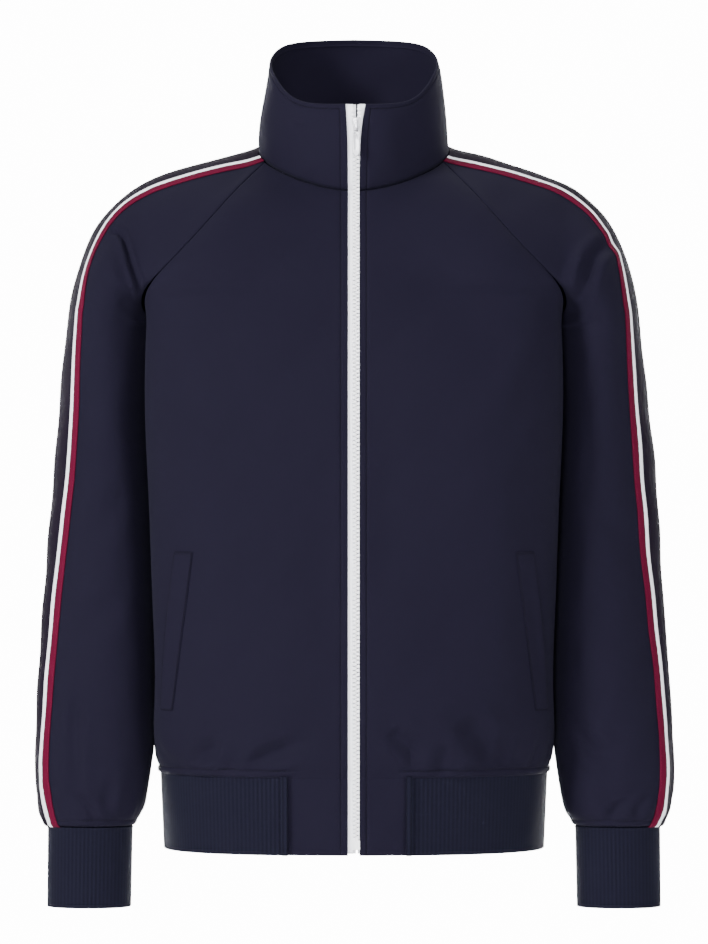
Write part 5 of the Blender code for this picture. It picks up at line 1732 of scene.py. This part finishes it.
def make_stops():
    """The two top stops, and the box and pin that the zip starts from at the hem."""
    middle, axes = chain_place(STOP_Z)
    for name, side in (("right", -1), ("left", 1)):
        obj = block((2.3, 2.9, 3.0))
        bpy.ops.mesh.bevel(offset=0.5, segments=2, affect="EDGES")
        bpy.ops.object.mode_set(mode="OBJECT")
        made_piece(obj, "zip_stop_" + name, "tooth", axes, middle + np.array([side * 3.4, 0, 0]))
    obj = block((7.4, 3.1, 9.0))
    select_faces(obj, lambda middle, normal: normal.y < -0.9)
    bpy.ops.mesh.inset(thickness=1.1, depth=-0.35)
    bpy.ops.mesh.select_all(action="SELECT")
    bpy.ops.mesh.bevel(offset=0.35, segments=2, affect="EDGES")
    bpy.ops.object.mode_set(mode="OBJECT")
    middle, axes = chain_place(BOX_Z)
    made_piece(obj, "zip_box", "tooth", axes, middle)


def slider_place():
    """The middle of the slider on the front of the chain, and the directions across, out and up."""
    path = zip_path(ZIP_CENTRE_X)[0][::-1]
    ends = [np.array([ZIP_CENTRE_X, np.interp(z, path[:, 2], path[:, 1]), z]) for z in SLIDER_Z]
    up = unit(ends[1] - ends[0])
    out = np.cross([1.0, 0, 0], up)
    return (ends[0] + ends[1]) / 2 - out * CHAIN_DEPTH[0], np.stack([[1.0, 0, 0], -out, up])


def make_slider():
    """The slider: a shield-shaped body with side flanges and a bridge that holds the pull tab."""
    centre, axes = slider_place()
    half = (SLIDER_Z[1] - SLIDER_Z[0]) / 2
    middle_off = SLIDER_GAP + SLIDER_DEPTH / 2
    obj = block((2 * SLIDER_HALF_WIDTH, SLIDER_DEPTH, 2 * half), (0, -middle_off, 0))
    cut(2, (-half * 0.55, -half * 0.1, half * 0.35, half * 0.72))
    cut(0, (-SLIDER_HALF_WIDTH * 0.5, SLIDER_HALF_WIDTH * 0.5))
    for level, share in ((-half, 0.66), (-half * 0.55, 0.74), (-half * 0.1, 0.86), (half, 0.8)):
        select(obj, lambda place: abs(place.z - level) < 0.05)
        bpy.ops.transform.resize(value=(share, 1, 1), center_override=(0, -middle_off, level))
    select(obj, lambda place: abs(place.x) > SLIDER_HALF_WIDTH * 0.6 and place.y < -middle_off)
    bpy.ops.transform.translate(value=(0, 0.55, 0))
    select(obj, lambda place: abs(place.x) < SLIDER_HALF_WIDTH * 0.55 and place.z > half - 0.1)
    bpy.ops.transform.translate(value=(0, 0, -0.9))
    shaped()
    applied(obj, "BEVEL", width=0.35, segments=2, limit_method="ANGLE", angle_limit=math.radians(30))
    applied(obj, "SUBSURF", levels=1, render_levels=1)
    slider = made_piece(obj, "zip_slider_body", "slider", axes, centre)

    low, high = BRIDGE_ENDS
    top = SLIDER_GAP + SLIDER_DEPTH + BRIDGE_HOLE
    obj = block((2 * BRIDGE_HALF_WIDTH, BRIDGE_BAR, high - low), (0, -top - BRIDGE_BAR / 2, (low + high) / 2))
    cut(2, (low + BRIDGE_WALL, high - BRIDGE_WALL))
    for level in (low, high):
        select_faces(obj, lambda middle, normal: normal.y > 0.9 and abs(middle.z - level) < BRIDGE_WALL)
        bpy.ops.mesh.extrude_region_move(TRANSFORM_OT_translate={"value": (0, BRIDGE_HOLE + 0.7, 0)})
    shaped()
    applied(obj, "BEVEL", width=0.3, segments=3, limit_method="ANGLE", angle_limit=math.radians(40))
    made_piece(obj, "zip_slider_bridge", "slider", axes, centre)
    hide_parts("zip_slider")


def make_pull():
    """The pull tab: a plain plate with a slot, a rounded end and a sunk middle, which hangs from the bridge."""
    centre, axes = slider_place()
    bar = PULL_THICKNESS / 2
    along = BRIDGE_ENDS[0] + BRIDGE_WALL + PULL_PLAY + bar * math.sqrt(2)
    hinge = centre + axes[2] * along - axes[1] * (SLIDER_GAP + SLIDER_DEPTH + BRIDGE_HOLE / 2)
    tall = PULL_LENGTH + bar
    obj = block((2 * PULL_HALF_WIDTH, PULL_THICKNESS, tall), (0, 0, bar - tall / 2))
    waist, shoulder, tip = (-PULL_LENGTH * share for share in (0.45, 0.82, 0.93))
    cut(2, (-bar, -bar - PULL_SLOT_LENGTH, waist, shoulder, tip))
    cut(0, (-PULL_SLOT_HALF, PULL_SLOT_HALF))
    select_faces(obj, lambda middle, normal: abs(normal.y) > 0.9 and abs(middle.x) < 1
                 and -bar - PULL_SLOT_LENGTH < middle.z < -bar)
    bpy.ops.mesh.bridge_edge_loops()
    for level, share in ((bar, 0.86), (waist, 0.92), (tip, 0.86), (-PULL_LENGTH, 0.5)):
        select(obj, lambda place: abs(place.z - level) < 0.05 and abs(place.x) > PULL_SLOT_HALF + 0.3)
        bpy.ops.transform.resize(value=(share, 1, 1), center_override=(0, 0, level))
    select_faces(obj, lambda middle, normal: abs(normal.y) > 0.9 and abs(middle.x) < 1
                 and shoulder < middle.z < -bar - PULL_SLOT_LENGTH)
    bpy.ops.mesh.inset(thickness=0.7, depth=-0.25)
    shaped()
    applied(obj, "BEVEL", width=0.22, segments=2, limit_method="ANGLE", angle_limit=math.radians(35))
    pull = made_piece(obj, "zip_pull", "slider", np.eye(3), hinge, "pull_tab")
    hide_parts("pull_tab")


# ---- Studio ----

CAMERA_HEIGHT = -0.306
CAMERA_AWAY = 5.0
FLOOR_Z = -1.9
FLOOR_HALF = 12.0

# The card behind the jacket: its depth, and its outline up from the floor: distance in front of it, and height
CARD_Y = 3.65
CARD_CURVE = ((1.45, 0.02), (0.75, 0.12), (0.25, 0.5), (0.05, 1.1), (0, 2.0), (0, 5.0))

# Lights on the jacket: place of each, and size of its panel. Each one's power is a setting
LIGHTS = {
    "key_light": ((-3.0, -2.1, 1.2), (0.9, 0.9)),
    "front_light": ((-0.6, -4.4, 0.9), (1.2, 1.2)),
    "fill_light": ((2.6, -2.8, 0.4), (1.2, 1.2)),
    "top_light": ((0.3, 0.9, 2.4), (1.6, 1.2)),
}
LIT_POINT = (0, 0, -0.3)
CARD_LIGHT_X = 1.3
CARD_LIGHT_AWAY = 1.75
CARD_LIGHT_SIZE = (0.5, 2.4)

# How much brighter the air looks than it lights the jacket
SEEN_AIR = 14.0


def make_paper(name, line, seen):
    """A wide sheet of pale paper along a line of (y, z), which cameras see or don't see."""
    across = np.linspace(-FLOOR_HALF, FLOOR_HALF, 5)
    points = [(x, y, z) for y, z in line for x in across]
    wide = len(across)
    faces = [(i, i + 1, i + wide + 1, i + wide) for i in range(len(points) - wide) if i % wide < wide - 1]
    mesh = bpy.data.meshes.new(name)
    mesh.from_pydata(points, [], faces)
    mesh.materials.append(finish("studio_paper"))
    mesh.shade_smooth()
    obj = added(name, mesh)
    obj.visible_camera = seen


def make_floor():
    """A flat pale floor, and a white card behind the jacket that throws light on it and isn't seen itself."""
    make_paper("studio_floor", [(-FLOOR_HALF, FLOOR_Z), (FLOOR_HALF, FLOOR_Z)], True)
    run = [(CARD_Y - ahead, FLOOR_Z + height) for ahead, height in CARD_CURVE]
    line = spline(np.arange(len(run)), np.array(run), np.linspace(0, len(run) - 1, 51))
    make_paper("studio_card", line, False)


def make_light(name, place, target, size, power):
    """A soft light at a place that faces a target."""
    data = bpy.data.lights.new(name, "AREA")
    data.shape = "RECTANGLE"
    data.size, data.size_y = size
    data.energy = power
    obj = added(name, data)
    obj.location = place
    obj.rotation_euler = (Vector(target) - Vector(place)).to_track_quat("-Z", "Y").to_euler()
    obj.visible_camera = False


def make_studio():
    """Floor, card, lights, white surroundings and the camera."""
    studio = settings().studio
    make_floor()
    for name, (place, size) in LIGHTS.items():
        make_light(name, place, LIT_POINT, size, getattr(studio, name))
    for name, x in (("left", -CARD_LIGHT_X), ("right", CARD_LIGHT_X)):
        make_light("paper_light_" + name, (x, CARD_Y - CARD_LIGHT_AWAY, LIT_POINT[2]),
                   (x * 0.3, CARD_Y, LIT_POINT[2]), CARD_LIGHT_SIZE, studio.paper_light)
    world = bpy.data.worlds.new("studio_air")
    world.use_nodes = True
    tree = world.node_tree
    air = tree.nodes["Background"]
    air.inputs["Color"].default_value = (*studio.air_colour, 1)
    seen = tree.nodes.new("ShaderNodeLightPath")
    strength = tree.nodes.new("ShaderNodeMath")
    strength.operation = "MULTIPLY_ADD"
    strength.inputs[1].default_value = SEEN_AIR
    strength.inputs[2].default_value = studio.air_strength
    tree.links.new(seen.outputs["Is Camera Ray"], strength.inputs[0])
    tree.links.new(strength.outputs[0], air.inputs["Strength"])
    bpy.context.scene.world = world
    data = bpy.data.cameras.new("camera")
    data.sensor_fit = "VERTICAL"
    data.sensor_height = 36.0
    data.lens = studio.lens
    data.clip_end = 50
    camera = added("camera", data)
    camera.location = (0, -CAMERA_AWAY, CAMERA_HEIGHT)
    camera.rotation_euler = (math.radians(90), 0, 0)
    bpy.context.scene.camera = camera


# ---- Settings, operators and panel ----

def settings():
    """The jacket's settings."""
    return bpy.context.scene.jacket


def length_setting(name, description, default):
    return bpy.props.FloatProperty(name=name, description=description, default=default, min=0.0, unit="LENGTH",
                                   subtype="DISTANCE", precision=5)


def colour_setting(name, description, default):
    return bpy.props.FloatVectorProperty(name=name, description=description, default=default, size=3, min=0.0,
                                         max=1.0, subtype="COLOR")


def number_setting(name, description, default, high=2.0):
    return bpy.props.FloatProperty(name=name, description=description, default=default, min=0.0, max=high)


class ClothSettings(bpy.types.PropertyGroup):
    """How the cloth is made and worn."""
    mesh_step: length_setting("Mesh step", "Distance between the points of the cloth", 0.0036)
    creases: number_setting("Creases", "Depth of the creases, as a share of the worn depth", 1.7)
    unevenness: number_setting("Unevenness", "Size of the slow waves of the cloth", 1.0)


class ColourSettings(bpy.types.PropertyGroup):
    """Colours of cloth, stripes and zip."""
    shell: colour_setting("Shell", "Colour of the body, sleeves and collar", (0.0044, 0.0036, 0.0092))
    rib: colour_setting("Rib", "Colour of the waistband and cuffs", (0.0046, 0.0045, 0.0107))
    red: colour_setting("Red stripe", "Colour of the outer stripes of the side tape", (0.078, 0.0022, 0.016))
    white: colour_setting("White stripe", "Colour of the inner stripes of the side tape", (0.9, 0.9, 0.95))
    zip_white: colour_setting("Zip", "Colour of the zip's tapes and teeth", (0.93, 0.93, 0.97))
    metal: colour_setting("Slider", "Colour of the slider and its pull tab", (0.5, 0.5, 0.54))


class StitchSettings(bpy.types.PropertyGroup):
    """Size of the stitches."""
    pitch: length_setting("Pitch", "Distance from one stitch to the next", STITCH_PITCH * MM)
    length: length_setting("Length", "Length of the thread that shows in one stitch", STITCH_LENGTH * MM)
    thread: length_setting("Thread radius", "Radius of the sewing thread", THREAD_RADIUS * MM)


class ZipSettings(bpy.types.PropertyGroup):
    """Size of the zip."""
    pitch: length_setting("Tooth pitch", "Distance from one tooth to the next on the same side", 0.0038)


class StudioSettings(bpy.types.PropertyGroup):
    """Lights and camera."""
    key_light: number_setting("Key light", "Power of the light on the left", 300.0, 2000.0)
    front_light: number_setting("Front light", "Power of the light in front", 210.0, 2000.0)
    fill_light: number_setting("Fill light", "Power of the light in front, on the right", 120.0, 2000.0)
    top_light: number_setting("Top light", "Power of the light above and behind", 60.0, 2000.0)
    paper_light: number_setting("Paper light", "Power of each light on the card behind", 540.0, 5000.0)
    air_strength: number_setting("Surroundings", "Brightness of the white surroundings", 0.42, 10.0)
    air_colour: colour_setting("Surroundings' colour", "Colour of the surroundings", (1.0, 1.0, 1.0))
    lens: bpy.props.FloatProperty(
        name="Lens", description="Focal length of the camera", default=200.7, min=10.0, unit="CAMERA")


class JacketSettings(bpy.types.PropertyGroup):
    """All settings of the jacket."""
    cloth: bpy.props.PointerProperty(type=ClothSettings)
    colours: bpy.props.PointerProperty(type=ColourSettings)
    stitches: bpy.props.PointerProperty(type=StitchSettings)
    zip: bpy.props.PointerProperty(type=ZipSettings)
    studio: bpy.props.PointerProperty(type=StudioSettings)


def on_both_sides(make):
    """Makes a piece on the left and again on the right."""
    for side, flip in SIDES:
        make(side, flip)


class JACKET_OT_fronts(bpy.types.Operator):
    """Make both fronts, with their topstitching"""
    bl_idname = "jacket.fronts"
    bl_label = "Fronts"

    def execute(self, context):
        on_both_sides(make_front)
        return {"FINISHED"}


class JACKET_OT_back(bpy.types.Operator):
    """Make the back"""
    bl_idname = "jacket.back"
    bl_label = "Back"

    def execute(self, context):
        make_back()
        return {"FINISHED"}


class JACKET_OT_sleeves(bpy.types.Operator):
    """Make both sleeves, with the striped tapes on them"""
    bl_idname = "jacket.sleeves"
    bl_label = "Sleeves and stripes"

    def execute(self, context):
        on_both_sides(make_sleeve)
        return {"FINISHED"}


class JACKET_OT_collar(bpy.types.Operator):
    """Make the stand collar"""
    bl_idname = "jacket.collar"
    bl_label = "Collar"

    def execute(self, context):
        make_collar()
        return {"FINISHED"}


class JACKET_OT_ribs(bpy.types.Operator):
    """Make the ribbed waistband and cuffs"""
    bl_idname = "jacket.ribs"
    bl_label = "Waistband and cuffs"

    def execute(self, context):
        make_waistband()
        on_both_sides(make_cuff)
        return {"FINISHED"}


class JACKET_OT_pockets(bpy.types.Operator):
    """Make the welts of the two front pockets"""
    bl_idname = "jacket.pockets"
    bl_label = "Pocket welts"

    def execute(self, context):
        on_both_sides(make_welt)
        return {"FINISHED"}


class JACKET_OT_zip_tapes(bpy.types.Operator):
    """Make the two tapes of the zip"""
    bl_idname = "jacket.zip_tapes"
    bl_label = "Zip tapes"

    def execute(self, context):
        on_both_sides(make_zip_tape)
        return {"FINISHED"}


class JACKET_OT_zip_teeth(bpy.types.Operator):
    """Make the teeth of the zip, its top stops and its box"""
    bl_idname = "jacket.zip_teeth"
    bl_label = "Zip teeth"

    def execute(self, context):
        make_teeth()
        make_stops()
        return {"FINISHED"}


class JACKET_OT_slider(bpy.types.Operator):
    """Make the zip's slider and its bridge"""
    bl_idname = "jacket.slider"
    bl_label = "Slider"

    def execute(self, context):
        make_slider()
        return {"FINISHED"}


class JACKET_OT_pull(bpy.types.Operator):
    """Make the pull tab"""
    bl_idname = "jacket.pull"
    bl_label = "Pull tab"

    def execute(self, context):
        make_pull()
        return {"FINISHED"}


class JACKET_OT_studio(bpy.types.Operator):
    """Make the floor, the card behind the jacket, the lights and the camera"""
    bl_idname = "jacket.studio"
    bl_label = "Studio"

    def execute(self, context):
        make_studio()
        return {"FINISHED"}


STEPS = (JACKET_OT_fronts, JACKET_OT_back, JACKET_OT_sleeves, JACKET_OT_collar, JACKET_OT_ribs,
         JACKET_OT_pockets, JACKET_OT_zip_tapes, JACKET_OT_zip_teeth, JACKET_OT_slider, JACKET_OT_pull,
         JACKET_OT_studio)


class JACKET_PT_panel(bpy.types.Panel):
    """Lists the jacket's settings and its pieces"""
    bl_label = "Track jacket"
    bl_idname = "JACKET_PT_panel"
    bl_space_type = "VIEW_3D"
    bl_region_type = "UI"
    bl_category = "Jacket"

    def draw(self, context):
        for part in ("cloth", "colours", "stitches", "zip", "studio"):
            box = self.layout.box()
            box.label(text=part.capitalize())
            values = getattr(context.scene.jacket, part)
            for name in values.bl_rna.properties.keys():
                if name not in ("rna_type", "name"):
                    box.prop(values, name)
        for step in STEPS:
            self.layout.operator(step.bl_idname)


CLASSES = (ClothSettings, ColourSettings, StitchSettings, ZipSettings, StudioSettings, JacketSettings, *STEPS,
           JACKET_PT_panel)


def register():
    for made in CLASSES:
        bpy.utils.register_class(made)
    bpy.types.Scene.jacket = bpy.props.PointerProperty(type=JacketSettings)


def unregister():
    del bpy.types.Scene.jacket
    for made in reversed(CLASSES):
        bpy.utils.unregister_class(made)


def main():
    register()
    for step in STEPS:
        group, name = step.bl_idname.split(".")
        getattr(getattr(bpy.ops, group), name)()


if __name__ == "__main__":
    main()
